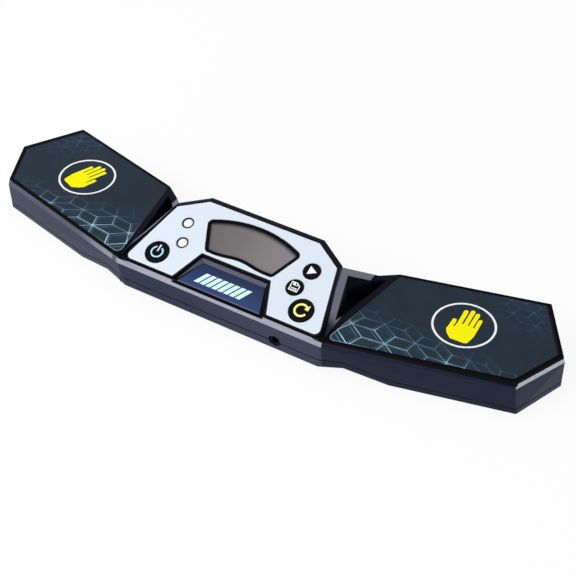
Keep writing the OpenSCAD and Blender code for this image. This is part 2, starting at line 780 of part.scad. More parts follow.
module main_board() color("#1f5a3a") body() on_plate(board_under) difference() {
  linear_extrude(board_t) polygon(board_outline);
  right_and_left() for (p = board_posts) translate([p.x, p.y, -1]) cylinder(h = 9, r = board_screw_r + 0.2);
}

module timer_chip() color("#151515") body() on_plate(board_under + 1.2)
  translate([6, 6, 0]) cube([10, 8, 1.2]);

module clock_crystal() color("#c8ccd0") body() on_plate(board_under + 1) translate([-12, 7, 0])
  cube([8, 3.2, 1]);

// Socket for a 3.5 mm plug, with its collar in the hole of the case
module data_jack() color("#17181c") body() translate([jack_x, 0, jack_z]) difference() {
  union() {
    translate([-jack_body / 2, jack_face, -jack_body / 2])
      cube([jack_body, jack_back - jack_face, jack_body]);
    translate([0, jack_face, 0]) rotate([90, 0, 0]) cylinder(h = wall, r = jack_collar_r);
  }
  translate([0, jack_front + jack_bore_len, 0]) rotate([90, 0, 0])
    cylinder(h = jack_bore_len + 1, r = jack_bore_r);
}

module jack_leads() color("#b03030") body() for (x = jack_lead_places) wire([
  [jack_x + x, jack_back - 1.5, jack_z + jack_body / 2],
  [jack_x + x, jack_back - 1.2, board_z(jack_back - 1.2) - 1],
  [jack_x + x, jack_back - 1.2, board_z(jack_back - 1.2 - jack_lead_r)]
], jack_lead_r);

// ---------------------------------------------------------------- pads

module pad_2d(gap = 0) offset(r = pad_corner_r) offset(delta = -pad_corner_r - gap) intersection() {
  offset(delta = -chamfer_w - border_w) polygon(concat([[0, 0]], wing_top, [[0, valley_set]]));
  polygon([[pad_inner_front_x, 0], [far, 0], [far, far], [pad_inner_back_x
    + (pad_inner_back_x - pad_inner_front_x) * (far - root_back_set) / root_back_set, far]]);
}

module pad_film() body() translate([0, 0, pad_height - film_drop - film_t])
  linear_extrude(film_t) pad_2d(seat_gap);

// Metal plate with the tab that its lead is soldered to
module sensor_plate() body() {
  translate([0, 0, pad_height - film_drop - film_t - sensor_t]) linear_extrude(sensor_t) pad_2d(seat_gap);
  translate([sensor_tab.x, sensor_tab.y, ceiling - tab_h])
    cylinder(h = tab_h + skin + 0.2, r = tab_r);
}

module sensor_lead() body() wire(lead_route, lead_r);

module right_pad_film() color("#2b3844") pad_film();
module left_pad_film() color("#2b3844") mirror([1, 0, 0]) pad_film();
module right_sensor_plate() color("#b7bbbf") sensor_plate();
module left_sensor_plate() color("#b7bbbf") mirror([1, 0, 0]) sensor_plate();
module right_sensor_lead() color("#c8a020") sensor_lead();
module left_sensor_lead() color("#c8a020") mirror([1, 0, 0]) sensor_lead();

// ---------------------------------------------------------------- power

// A cell that lies along X, with its contact towards +X when dir is 1
module cell(set, dir) body() translate([-dir * (box_half - contact_t - spring_len), set, cell_z])
  rotate([0, dir * 90, 0]) {
    cylinder(h = cell_len - 1, r = cell_r);
    cylinder(h = cell_len, r = 1.9);
  }

module front_cell() color("#c7a53a") cell(front_cell_set, 1);
module rear_cell() color("#c7a53a") cell(rear_cell_set, -1);

// One plate bridges the cells at -X, two single plates stand at +X
module battery_contacts() color("#d2d5d8") body() {
  tall = 8;
  translate([-box_half, front_cell_set - 4, cell_z - tall / 2])
    cube([contact_t, cell_pitch + 8, tall]);
  for (set = [front_cell_set, rear_cell_set])
    translate([box_half - contact_t, set - 4, cell_z - tall / 2]) cube([contact_t, 8, tall]);
}

// A cone of wire that stands on the plate z = 0: one unbroken tube
module contact_spring() {
  turns = 2.5;
  rings = 20;
  sides = 6;
  base_r = 3.4;
  tip_r = 2.2;
  climb = spring_len - 2 * spring_wire_r;
  points = [for (i = [0 : rings], s = [0 : sides - 1])
    let (
      t = i / rings,
      turn = 360 * turns * t,
      r = base_r + (tip_r - base_r) * t + spring_wire_r * cos(360 * s / sides)
    )
    [r * cos(turn), r * sin(turn), spring_wire_r + climb * t + spring_wire_r * sin(360 * s / sides)]];
  faces = concat(
    [[for (s = [0 : sides - 1]) s]],
    [for (i = [0 : rings - 1], s = [0 : sides - 1])
      let (a = i * sides + s, b = i * sides + (s + 1) % sides) [a, a + sides, b + sides]],
    [for (i = [0 : rings - 1], s = [0 : sides - 1])
      let (a = i * sides + s, b = i * sides + (s + 1) % sides) [a, b + sides, b]],
    [[for (s = [sides - 1 : -1 : 0]) rings * sides + s]]
  );
  polyhedron(points = points, faces = faces);
}

module contact_springs() color("#d2d5d8") body() {
  translate([-box_half + contact_t, front_cell_set, cell_z]) rotate([0, 90, 0]) contact_spring();
  translate([box_half - contact_t, rear_cell_set, cell_z]) rotate([0, -90, 0]) contact_spring();
}

module battery_leads() color("#a02020") body() for (i = [0, 1]) {
  start = [box_half + box_wall + 0.6, i == 0 ? front_cell_set : rear_cell_set, box_ceiling - 1];
  wire([
    start, [start.x + 1.2, start.y, start.z + 1],
    [start.x + 1.2, start.y, board_z(start.y - power_lead_r)]
  ], power_lead_r);
}

// Sliding cover: it leaves to the back, and its rear lip closes the wall of the base
module battery_cover() color("#30303f") body() {
  translate([-cover_half, cover_front, centre_lift])
    cube([2 * cover_half, crown_set - cover_front, cover_t]);
  translate([-cover_half - tongue_w, cover_front, centre_lift + cover_t / 2])
    cube([2 * (cover_half + tongue_w), inner_back - 1 - cover_front, cover_t / 2]);
  translate([-cover_half, inner_back + seat_gap, centre_lift])
    cube([2 * cover_half, crown_set - inner_back - seat_gap, seam_centre - centre_lift]);
}

// ---------------------------------------------------------------- fasteners and feet

module case_screws() color("#9a9ca2") body() right_and_left() for (p = screw_places)
  translate([p.x, p.y, screw_head_z - screw_head_h]) {
    cylinder(h = screw_head_h, r = screw_head_r);
    cylinder(h = screw_len, r = screw_r);
  }

module board_screws() color("#9a9ca2") body() right_and_left() for (p = board_posts)
  on_plate(board_under) translate([p.x, p.y, 0]) {
    translate([0, 0, -1]) cylinder(h = 1, r = 1.7);
    cylinder(h = board_t + 3, r = board_screw_r);
  }

module rubber_feet() color("#1b1b1f") body() right_and_left() for (p = foot_places)
  translate([p.x, p.y, -foot_proud]) cylinder(h = foot_t, r = foot_r);

// ---------------------------------------------------------------- nodes

upper_case();
base_case();
console_panel();
display_frame();
display_window();
display_glass();
display_connector();
badge_panel();
power_key();
reset_key();
up_key();
save_key();
power_plunger();
reset_plunger();
up_plunger();
save_plunger();
switch_bodies();
upper_light();
lower_light();
light_sleeves();
main_board();
timer_chip();
clock_crystal();
data_jack();
jack_leads();
left_pad_film();
right_pad_film();
left_sensor_plate();
right_sensor_plate();
left_sensor_lead();
right_sensor_lead();
front_cell();
rear_cell();
battery_contacts();
contact_springs();
battery_leads();
battery_cover();
case_screws();
board_screws();
rubber_feet();
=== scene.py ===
"""Two-handed speed cube timer: its looks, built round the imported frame.

Everything is in metres and in the frame of the solids: X along the length, Y from front to back,
Z up from the table. The file is laid out as an add-on and is run as a script.
"""

import functools
import math

import bmesh
import bpy
import numpy as np
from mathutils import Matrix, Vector


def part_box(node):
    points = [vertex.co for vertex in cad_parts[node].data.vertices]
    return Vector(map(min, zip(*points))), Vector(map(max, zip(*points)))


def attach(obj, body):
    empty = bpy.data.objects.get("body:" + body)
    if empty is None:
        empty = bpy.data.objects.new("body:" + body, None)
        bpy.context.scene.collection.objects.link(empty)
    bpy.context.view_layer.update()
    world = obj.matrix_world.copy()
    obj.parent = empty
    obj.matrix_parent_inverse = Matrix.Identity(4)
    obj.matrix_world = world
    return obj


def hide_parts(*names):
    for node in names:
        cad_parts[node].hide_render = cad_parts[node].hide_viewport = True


bl_info = {
    "name": "Speed cube timer",
    "version": (1, 0, 0),
    "blender": (4, 5, 0),
    "location": "3D Viewport > Sidebar > Cube timer",
    "description": "Builds the moulded, printed and metal pieces of a two-handed cube timer",
    "category": "Add Mesh",
}

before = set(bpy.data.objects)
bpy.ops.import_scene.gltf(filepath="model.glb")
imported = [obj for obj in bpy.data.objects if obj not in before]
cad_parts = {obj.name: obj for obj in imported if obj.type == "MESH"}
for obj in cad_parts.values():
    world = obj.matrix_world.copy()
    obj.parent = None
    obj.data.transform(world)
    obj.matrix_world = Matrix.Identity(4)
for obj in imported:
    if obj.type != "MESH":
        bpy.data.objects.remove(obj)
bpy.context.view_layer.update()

MM = 0.001
TILT = math.radians(20.3)  # slope of the console
NOTCH_TILT = math.radians(10.8)  # slope of the recess in front of the display
FRONT_Y = -0.0364  # straight front edge of the body
SLOPE_Z = 0.0182  # height of the sloping plane at the front edge
NOTCH_Z = 0.018  # height of the recess floor at the front edge
ROOT_X = 0.0533  # ends of the straight front edge
RECESS_X = 0.026  # half width of the recess in front of the display
WING_SWEEP = 0.2475  # how far a wing's front edge runs back for its length
FILM_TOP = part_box("right_pad_film")[1].z
HANDS = {  # middle of the hand sign and its turn in degrees, mirrored on the left
    "left": (-0.1015, 0.00475, -19.5),
    "right": (0.1005, 0.0040, 0.0),
}
KEY_PLACES = {  # distance from the middle and up the slope, radius
    "power": (-37.7, 10.7, 5.6),
    "reset": (37.7, 10.7, 5.6),
    "up": (32.6, 29.7, 4.0),
    "save": (29.5, 19.6, 4.0),
}
LIGHT_PLACES = {"upper_light": (-32.6, 29.7), "lower_light": (-29.5, 19.6)}
LATTICE_STAR = (0.0768, -0.0236)  # a star of the printed cubes on the right pad
LATTICE_EDGES = ((0.00993, 0.00122), (0.00199, 0.00647))  # two edges of a cube from that star
LATTICE_LEAN = (0.035, 0.065)  # how much the print shrinks along each, per edge


# ------------------------------------------------------------------ sizes and colours


def length_prop(name, description, default):
    """A length that a user can change."""
    return bpy.props.FloatProperty(
        name=name, description=description, default=default, unit="LENGTH"
    )


class TimerSizes(bpy.types.PropertyGroup):
    """Sizes of the pieces that are made here."""

    edge_round: length_prop("Edge rounding", "Radius on the edges of the shells", 0.00035)
    key_round: length_prop("Key rounding", "Radius on the top edge of a key cap", 0.0004)
    ink: length_prop("Ink thickness", "Height of a printed sign above its surface", 0.00003)
    ring_radius: length_prop("Ring radius", "Middle radius of the ring round a hand", 0.0135)
    ring_width: length_prop("Ring width", "Width of the white ring", 0.00096)


def colour_prop(name, description, default):
    """A colour that a user can change, as three linear values."""
    return bpy.props.FloatVectorProperty(
        name=name, description=description, default=default, subtype="COLOR", size=3, min=0, max=1
    )


class TimerColours(bpy.types.PropertyGroup):
    """Colours of the finishes."""

    case: colour_prop("Case", "Moulded shells", (0.0115, 0.0165, 0.040))
    # The bevel colour is a painted highlight on the shells' bevels
    bevel: colour_prop("Bevel", "Polished bevels of the shells", (0.25, 0.252, 0.315))
    rim: colour_prop("Rim", "Flat rims round the pads and the panel", (0.0015, 0.0015, 0.0025))
    panel: colour_prop("Panel", "Printed console panel", (0.625, 0.69, 0.775))
    ink_black: colour_prop("Black ink", "Printed lines, frames and keys", (0.002, 0.002, 0.004))
    display: colour_prop("Display", "Unlit display", (0.172, 0.160, 0.164))
    badge: colour_prop("Badge", "Recessed panel in front of the display", (0.022, 0.044, 0.135))
    bars: colour_prop("Bars", "Slanted bars on the recessed panel", (0.66, 0.93, 1.0))
    film: colour_prop("Pad film", "Printed film of the pads", (0.0145, 0.0265, 0.040))
    lattice: colour_prop("Lattice", "Lines of the printed cubes", (0.48, 0.80, 1.0))
    lattice_far: colour_prop("Far lattice", "Lines far from the console", (0.14, 0.29, 0.57))
    hand: colour_prop("Hand", "Hand sign", (1.0, 0.93, 0.0))
    white: colour_prop("White ink", "Rings and white signs", (0.94, 0.95, 0.96))
    power: colour_prop("Power sign", "Sign on the power key", (0.42, 0.74, 0.86))
    reset: colour_prop("Reset sign", "Sign on the reset key", (0.88, 0.84, 0.25))


# ------------------------------------------------------------------ surfaces


class Plane:
    """A flat place on the timer. A local point (u, v, w) lies at origin + u*U + v*V + w*W, where
    U runs along the timer, V up the slope and W square to it."""

    def __init__(self, origin, tilt=0.0):
        self.origin = np.array(origin, float)
        self.axes = np.array(
            [
                [1, 0, 0],
                [0, math.cos(tilt), math.sin(tilt)],
                [0, -math.sin(tilt), math.cos(tilt)],
            ]
        )

    def lay(self, points):
        """Local points, as rows of u, v, w, in the frame of the timer."""
        return self.origin + np.asarray(points, float) @ self.axes


SLOPE = Plane((0, FRONT_Y, SLOPE_Z), TILT)
NOTCH = Plane((0, FRONT_Y, NOTCH_Z), NOTCH_TILT)
PAD = Plane((0, 0, FILM_TOP))


def grid_faces(rows, columns, wrap_rows=False, wrap_columns=False):
    """Quads of a grid whose vertices run along its columns first."""
    r = np.arange(rows if wrap_rows else rows - 1)
    c = np.arange(columns if wrap_columns else columns - 1)
    r, c = np.meshgrid(r, c, indexing="ij")
    r2, c2 = (r + 1) % rows, (c + 1) % columns
    quads = np.stack([r * columns + c, r * columns + c2, r2 * columns + c2, r2 * columns + c], -1)
    return quads.reshape(-1, 4)


def prism(outline, high=1.0):
    """A flat solid: the outline, counterclockwise, carried from height 0 up to height high."""
    outline = np.asarray(outline, float)
    n = len(outline)
    rings = [np.column_stack([outline, np.full(n, w)]) for w in (0, high)]
    faces = grid_faces(2, n, wrap_columns=True).tolist()
    faces.append(np.arange(n)[::-1].tolist())
    faces.append((np.arange(n) + n).tolist())
    return np.vstack(rings), faces


def stroke(path, width, high=1.0, closed=False):
    """A flat line: a box section, width wide and from height 0 up to height high, carried along
    the path with mitred corners. At each point the section is widened by one over the cosine of
    half the turn."""
    path = np.asarray(path, float)
    ahead = np.roll(path, -1, 0) - path
    behind = path - np.roll(path, 1, 0)
    if not closed:
        ahead[-1], behind[0] = behind[-1], ahead[0]
    ahead /= np.linalg.norm(ahead, axis=1)[:, None]
    behind /= np.linalg.norm(behind, axis=1)[:, None]
    mean = ahead + behind
    mean /= np.linalg.norm(mean, axis=1)[:, None]
    side = np.column_stack([-mean[:, 1], mean[:, 0]])
    reach = width / 2 / np.sum(mean * ahead, axis=1)
    left, right = path + side * reach[:, None], path - side * reach[:, None]
    n = len(path)
    section = [
        np.column_stack([p, np.full(n, w)])
        for p, w in ((right, 0), (right, high), (left, high), (left, 0))
    ]
    points = np.stack(section, 1).reshape(-1, 3)
    faces = grid_faces(n, 4, wrap_rows=closed, wrap_columns=True)[:, ::-1].tolist()
    if not closed:
        faces.append([0, 1, 2, 3])
        faces.append([4 * n - 1, 4 * n - 2, 4 * n - 3, 4 * n - 4])
    return points, faces


def lathe(profile, count=96):
    """A turned solid: the profile, rows of radius and height from the top pole to the bottom
    pole, carried round the W axis. The point at angle a is (r cos a, r sin a, w)."""
    profile = np.asarray(profile, float)
    top, ring, foot = profile[0], profile[1:-1], profile[-1]
    angle = np.linspace(0, 2 * math.pi, count, endpoint=False)
    u = ring[:, :1] * np.cos(angle)
    v = ring[:, :1] * np.sin(angle)
    w = np.repeat(ring[:, 1:], count, 1)
    points = np.stack([u, v, w], -1).reshape(-1, 3)
    points = np.vstack([points, [0, 0, top[1]], [0, 0, foot[1]]])
    faces = grid_faces(len(ring), count, wrap_columns=True)[:, ::-1].tolist()
    around = np.arange(count)
    after = (around + 1) % count
    last = (len(ring) - 1) * count
    pole = len(ring) * count
    faces += np.column_stack([around, after, np.full(count, pole)]).tolist()
    faces += np.column_stack([after + last, around + last, np.full(count, pole + 1)]).tolist()
    return points, faces


def arc(centre, radius, start, end, steps=24):
    """Points at an even step of angle, in degrees, on a circle."""
    a = np.radians(np.linspace(start, end, steps + 1))
    return np.column_stack([centre[0] + radius * np.cos(a), centre[1] + radius * np.sin(a)])


def rounded_corners(corners, radius, steps=6):
    """A closed outline whose corners are arcs that touch both sides. The centre of an arc lies on
    the corner's bisector, radius over the sine of half the corner's angle away."""
    corners = np.asarray(corners, float)
    before = np.roll(corners, 1, 0) - corners
    after = np.roll(corners, -1, 0) - corners
    before /= np.linalg.norm(before, axis=1)[:, None]
    after /= np.linalg.norm(after, axis=1)[:, None]
    half = np.arccos(np.clip(np.sum(before * after, 1), -1, 1)) / 2
    bisector = before + after
    bisector /= np.linalg.norm(bisector, axis=1)[:, None]
    centre = corners + bisector * (radius / np.sin(half))[:, None]
    first = corners + before * (radius / np.tan(half))[:, None] - centre
    last = corners + after * (radius / np.tan(half))[:, None] - centre
    start = np.arctan2(first[:, 1], first[:, 0])
    turn = np.arctan2(last[:, 1], last[:, 0]) - start
    turn = (turn + math.pi) % (2 * math.pi) - math.pi
    angle = start[:, None] + turn[:, None] * np.linspace(0, 1, steps)
    ring = np.stack([np.cos(angle), np.sin(angle)], -1) * radius
    return (centre[:, None] + ring).reshape(-1, 2)


def joined(*parts):
    """Several solids, each as points and faces, in one."""
    points, faces, start = [], [], 0
    for p, f in parts:
        points.append(p)
        faces += [[i + start for i in face] for face in f]
        start += len(p)
    return np.vstack(points), faces


def moved(part, u, v=0.0):
    """A solid shifted along its plane."""
    return np.asarray(part[0], float) + (u, v, 0.0), part[1]


def show(name, mesh, body, replaces=()):
    """Puts a mesh in the scene as a piece that rides on its body."""
    piece = bpy.data.objects.new(name, mesh)
    bpy.context.scene.collection.objects.link(piece)
    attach(piece, body)
    if replaces:
        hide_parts(*replaces)
    return piece


def make_piece(name, part, plane, body, finish, replaces=(), smooth_angle=None):
    """A shown piece: the solid laid on its plane, with its material."""
    mesh = bpy.data.meshes.new(name)
    mesh.from_pydata(plane.lay(part[0]).tolist(), [], part[1])
    mesh.validate()
    mesh.materials.append(finish)
    if smooth_angle is not None:
        mesh.shade_smooth()
        mesh.set_sharp_from_angle(angle=math.radians(smooth_angle))
    mesh.update()
    show(name, mesh, body, replaces)


SHOWN_EDGE = 0.0025  # shorter edges than this stay sharp


def rounded_copy(node, name, radius, finish):
    """A moulded piece of the case: the node's solid, merged and cleared of edges between level
    faces, with its sharp edges rounded off where they are long enough to show."""
    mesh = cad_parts[node].data.copy()
    mesh.name = name
    solid = bmesh.new()
    solid.from_mesh(mesh)
    bmesh.ops.remove_doubles(solid, verts=solid.verts, dist=0.00002)
    bmesh.ops.dissolve_limit(
        solid, angle_limit=math.radians(0.4), verts=solid.verts, edges=solid.edges
    )
    weight = solid.edges.layers.float.new("bevel_weight_edge")
    for edge in solid.edges:
        sharp = edge.calc_face_angle(0) > math.radians(20)
        edge[weight] = float(sharp and edge.calc_length() > SHOWN_EDGE)
        edge.smooth = not sharp
    solid.to_mesh(mesh)
    solid.free()
    mesh.materials.clear()
    mesh.materials.append(finish)
    mesh.polygons.foreach_set("use_smooth", np.ones(len(mesh.polygons), bool))
    piece = show(name, mesh, "case", (node,))
    bevel = piece.modifiers.new("rounding", "BEVEL")
    bevel.width = radius
    bevel.segments = 2
    bevel.limit_method = "WEIGHT"
    bevel.use_clamp_overlap = False
    normals = piece.modifiers.new("level_faces", "WEIGHTED_NORMAL")
    normals.keep_sharp = True


def finish_faces(piece, finish, chosen):
    """Gives the faces that are chosen, from their middles and normals, a second finish."""
    mesh = piece.data
    count = len(mesh.polygons)
    middles, normals = np.empty(3 * count), np.empty(3 * count)
    mesh.polygons.foreach_get("center", middles)
    mesh.polygons.foreach_get("normal", normals)
    picked = chosen(middles.reshape(-1, 3), normals.reshape(-1, 3))
    mesh.materials.append(finish)
    mesh.polygons.foreach_set("material_index", picked.astype(np.int32))
    mesh.update()


def dress(finish, *nodes):
    """Gives nodes that stay as they are their material."""
    for node in nodes:
        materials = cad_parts[node].data.materials
        materials.clear()
        materials.append(finish)


# ------------------------------------------------------------------ shader helpers


class Shader:
    """Adds nodes to a tree. A value that is a socket is linked, and any other is typed in."""

    def __init__(self, tree):
        self.tree = tree

    def put(self, socket, value):
        """Fills one input."""
        if isinstance(value, bpy.types.NodeSocket):
            self.tree.links.new(value, socket)
        elif value is not None:
            socket.default_value = value

    def add(self, kind, inputs=(), **settings):
        """A node with its settings and inputs, which are given by name or by place."""
        node = self.tree.nodes.new(kind)
        for key, value in settings.items():
            setattr(node, key, value)
        for key, value in dict(inputs).items():
            self.put(node.inputs[key], value)
        return node

    def math(self, operation, a, b=None, c=None, clamp=False):
        """One sum on numbers."""
        inputs = {i: v for i, v in enumerate((a, b, c)) if v is not None}
        return self.add("ShaderNodeMath", inputs, operation=operation, use_clamp=clamp).outputs[0]

    def abs(self, value):
        """A number without its sign."""
        return self.math("ABSOLUTE", value)

    def minus(self, a, b):
        """The first number less the second."""
        return self.math("SUBTRACT", a, b)

    def times(self, *values):
        """The product of all: of masks, one where every one of them is."""
        return functools.reduce(lambda a, b: self.math("MULTIPLY", a, b), values)

    def most(self, *values):
        """The largest of all: of masks, one where any of them is."""
        return functools.reduce(lambda a, b: self.math("MAXIMUM", a, b), values)

    def least(self, *values):
        """The smallest of all."""
        return functools.reduce(lambda a, b: self.math("MINIMUM", a, b), values)

    def weigh(self, a, x, b, y):
        """The first number times x plus the second times y."""
        return self.math("MULTIPLY_ADD", a, x, self.math("MULTIPLY", b, y))

    def past(self, x, y, normal, point=(0.0, 0.0)):
        """How far x, y lies past a line: its dot product with the line's normal, less that of a
        point on the line, in mm."""
        normal = Vector(normal).normalized()
        return self.minus(self.weigh(x, normal.x, y, normal.y), normal.dot(Vector(point)) * MM)

    def above(self, value, limit):
        """One where the value is above the limit."""
        return self.math("GREATER_THAN", value, limit)

    def below(self, value, limit):
        """One where the value is below the limit."""
        return self.math("LESS_THAN", value, limit)

    def near(self, value, middle, reach):
        """One where the value is within reach of the middle."""
        return self.math("COMPARE", value, middle, reach)

    def ramp(self, value, low, high, to_low=0.0, to_high=1.0, kind="SMOOTHSTEP"):
        """A smooth step from one value to another."""
        names = ("Value", "From Min", "From Max", "To Min", "To Max")
        inputs = dict(zip(names, (value, low, high, to_low, to_high)))
        return self.add("ShaderNodeMapRange", inputs, interpolation_type=kind).outputs["Result"]

    def slide(self, value, low, high, to_low, to_high):
        """A straight ramp from one value to another, level outside."""
        return self.ramp(value, low, high, to_low, to_high, "LINEAR")

    def vector(self, operation, a, b=None, c=None):
        """One sum on vectors. Lengths and dot products come out as numbers."""
        inputs = {i: v for i, v in enumerate((a, b, c)) if v is not None}
        node = self.add("ShaderNodeVectorMath", inputs, operation=operation)
        return node.outputs["Value" if operation in ("LENGTH", "DOT_PRODUCT") else "Vector"]

    def dot(self, a, b):
        """The dot product of two vectors."""
        return self.vector("DOT_PRODUCT", a, b)

    def apart(self, a, b):
        """How far two points are apart."""
        return self.vector("LENGTH", self.vector("SUBTRACT", a, b))

    def split(self, vector):
        """The three parts of a vector."""
        return tuple(self.add("ShaderNodeSeparateXYZ", {0: vector}).outputs)

    def triple(self, x, y, z=0.0):
        """A vector made of its parts."""
        return self.add("ShaderNodeCombineXYZ", {0: x, 1: y, 2: z}).outputs[0]

    def corner(self, a, b, radius):
        """How deep a point lies inside a rounded corner, from its depths inside the two sides:
        the radius less the length of what each depth falls short of the radius."""
        short = [self.most(self.minus(radius, depth), 0.0) for depth in (a, b)]
        return self.minus(radius, self.vector("LENGTH", self.triple(*short)))

    def mix(self, factor, a, b, blend="MIX"):
        """Two colours mixed."""
        inputs = {0: factor, 6: a, 7: b}
        return self.add("ShaderNodeMix", inputs, data_type="RGBA", blend_type=blend).outputs[2]

    def scaled(self, colour, gain):
        """A colour made lighter or darker."""
        grey = self.add("ShaderNodeCombineColor", {0: gain, 1: gain, 2: gain}).outputs[0]
        return self.mix(1.0, colour, grey, "MULTIPLY")

    def noise(self, place, scale, detail=2.0, roughness=0.5):
        """Soft noise from 0 to 1."""
        inputs = {"Vector": place, "Scale": scale, "Detail": detail, "Roughness": roughness}
        return self.add("ShaderNodeTexNoise", inputs).outputs[0]

    def group(self, group, **inputs):
        """The outputs of a shared effect, placed with its own values."""
        inputs = {key.replace("_", " "): value for key, value in inputs.items()}
        return self.add("ShaderNodeGroup", inputs, node_tree=group).outputs

    def place(self):
        """Object coordinates."""
        return self.add("ShaderNodeTexCoord").outputs["Object"]

    def facing(self):
        """Normal of the surface in the object's own axes."""
        return self.add("ShaderNodeTexCoord").outputs["Normal"]


def rgb(colour):
    """A colour with full alpha."""
    return (*colour, 1.0)


def new_group(name, inputs, outputs):
    """An empty shared effect with named sockets: (name, kind, default) each."""
    group = bpy.data.node_groups.new(name, "ShaderNodeTree")
    for label, kind, default in inputs:
        socket = group.interface.new_socket(label, in_out="INPUT", socket_type=kind)
        if default is not None:
            socket.default_value = default
    for label, kind in outputs:
        group.interface.new_socket(label, in_out="OUTPUT", socket_type=kind)
    shader = Shader(group)
    source = shader.add("NodeGroupInput").outputs
    result = shader.add("NodeGroupOutput").inputs
    return group, shader, source, result


FLOAT, VECTOR, COLOUR = "NodeSocketFloat", "NodeSocketVector", "NodeSocketColor"


@functools.cache
def moulded_grain():
    """Spark-eroded plastic: a fine height and a slow change of gloss from handling."""
    group, s, source, result = new_group(
        "moulded_grain",
        [("Grain Scale", FLOAT, 5000.0), ("Smudge Scale", FLOAT, 60.0), ("Gloss", FLOAT, 0.4)],
        [("Height", FLOAT), ("Roughness", FLOAT)],
    )
    place = s.place()
    fine = s.noise(place, source["Grain Scale"], 3.0, 0.6)
    smudge = s.noise(place, source["Smudge Scale"], 4.0, 0.62)
    s.put(result["Height"], fine)
    gloss = s.math("MULTIPLY_ADD", s.minus(smudge, 0.5), 0.22, source["Gloss"])
    s.put(result["Roughness"], s.math("MULTIPLY_ADD", s.minus(fine, 0.5), 0.08, gloss))
    return group


@functools.cache
def tinted_mottle():
    """A colour that drifts a little lighter and darker over the surface."""
    group, s, source, result = new_group(
        "tinted_mottle",
        [("Color", COLOUR, (0.5, 0.5, 0.5, 1)), ("Scale", FLOAT, 90.0), ("Amount", FLOAT, 0.15)],
        [("Color", COLOUR)],
    )
    drift = s.minus(s.noise(s.place(), source["Scale"], 3.0, 0.55), 0.5)
    gain = s.math("MULTIPLY_ADD", s.times(drift, source["Amount"]), 2.0, 1.0)
    s.put(result["Color"], s.scaled(source["Color"], gain))
    return group


@functools.cache
def rounded_edge():
    """A small rounding on every sharp edge, shaded and not built, and how far in it a point is:
    one less the cosine between the rounded and the flat normal."""
    group, s, source, result = new_group(
        "rounded_edge", [("Radius", FLOAT, 0.0004)], [("Normal", VECTOR), ("Edge", FLOAT)]
    )
    soft = s.add("ShaderNodeBevel", {"Radius": source["Radius"]}, samples=6).outputs[0]
    flat = s.add("ShaderNodeNewGeometry").outputs["Normal"]
    s.put(result["Normal"], soft)
    s.put(result["Edge"], s.ramp(s.minus(1.0, s.dot(soft, flat)), 0.01, 0.25))
    return group


def heading(angle):
    """A flat vector of length one at an angle to X."""
    return math.cos(angle), math.sin(angle), 0.0


@functools.cache
def cube_lattice():
    """Printed cubes seen corner on: a honeycomb whose cells hold a three-armed star. The print
    leans away, so a place i edges along and j edges across is drawn at the star plus (i times one
    edge + j times the other) / (1 + lean . (i, j)), and is found again as m / (1 - lean . m) from
    the plain affine m. A cell's middle is the nearer of two interleaved rectangular lattices, 3
    wide and the root of 3 high. The border is the largest of three dot products with the normals
    of the sides, and an arm is the distance across it where the point lies on the arm's side. A
    corner is near where |p|^2 + 1 - 2 max|p . corner| is small."""
    group, s, source, result = new_group(
        "cube_lattice",
        [("Width", FLOAT, 0.05), ("Shift", VECTOR, (0, 0, 0))],
        [("Line", FLOAT), ("Cell", FLOAT), ("Face", FLOAT), ("Corner", FLOAT)],
    )
    x, y, _ = s.split(s.place())
    point = s.vector("SUBTRACT", s.triple(s.abs(x), y), (*LATTICE_STAR, 0.0))
    inverse = np.linalg.inv(np.array(LATTICE_EDGES).T)
    along, aside = (s.dot(point, (*row, 0.0)) for row in inverse)
    lean = s.weigh(along, LATTICE_LEAN[0], aside, LATTICE_LEAN[1])
    depth = s.minus(1.0, s.least(lean, 0.35))
    along, aside = s.math("DIVIDE", along, depth), s.math("DIVIDE", aside, depth)
    level = s.math("MULTIPLY_ADD", aside, 0.5, s.math("ADD", along, 1.0))
    tall = math.sqrt(3) / 2
    point = s.vector("ADD", s.triple(level, s.times(aside, tall)), source["Shift"])
    first = s.vector("WRAP", point, (1.5, tall, 1.0), (-1.5, -tall, -1.0))
    second = s.vector("SUBTRACT", point, (1.5, tall, 0.0))
    second = s.vector("WRAP", second, (1.5, tall, 1.0), (-1.5, -tall, -1.0))
    nearer = s.below(s.vector("LENGTH", first), s.vector("LENGTH", second))
    pick = s.add("ShaderNodeMix", {0: nearer, 4: second, 5: first}, data_type="VECTOR")
    local = pick.outputs[1]
    sides, arms, faces, corners = [], [], [], []
    for k in range(3):
        normal, arm, corner = np.radians([30 + 60 * k, 120 * k, 60 * k])
        sides.append(s.abs(s.dot(local, heading(normal))))
        beside = s.dot(local, heading(arm + math.pi / 2))
        away = s.below(s.dot(local, heading(arm)), 0.0)
        arms.append(s.math("ADD", s.abs(beside), away))
        faces.append(s.times(s.above(beside, 0.0), 0.5 - 0.2 * k))
        corners.append(s.abs(s.dot(local, heading(corner))))
    border = s.minus(tall, s.most(*sides))
    core = s.times(source["Width"], 0.45)
    s.put(result["Line"], s.ramp(s.least(border, *arms), core, source["Width"], 1.0, 0.0))
    square = s.dot(local, local)
    close = s.math("MULTIPLY_ADD", s.most(*corners), -2.0, s.math("ADD", square, 1.0))
    s.put(result["Corner"], s.ramp(s.least(close, square), 0.0, 0.03, 1.0, 0.0))
    middle = s.vector("SUBTRACT", point, local)
    middle = s.vector("SNAP", s.vector("ADD", middle, (0.05, 0.05, 0.0)), (0.1, 0.1, 1.0))
    cell = s.add("ShaderNodeTexWhiteNoise", {"Vector": middle}, noise_dimensions="3D")
    s.put(result["Cell"], cell.outputs["Value"])
    s.put(result["Face"], s.math("ADD", s.math("ADD", faces[0], faces[1]), faces[2]))
    return group


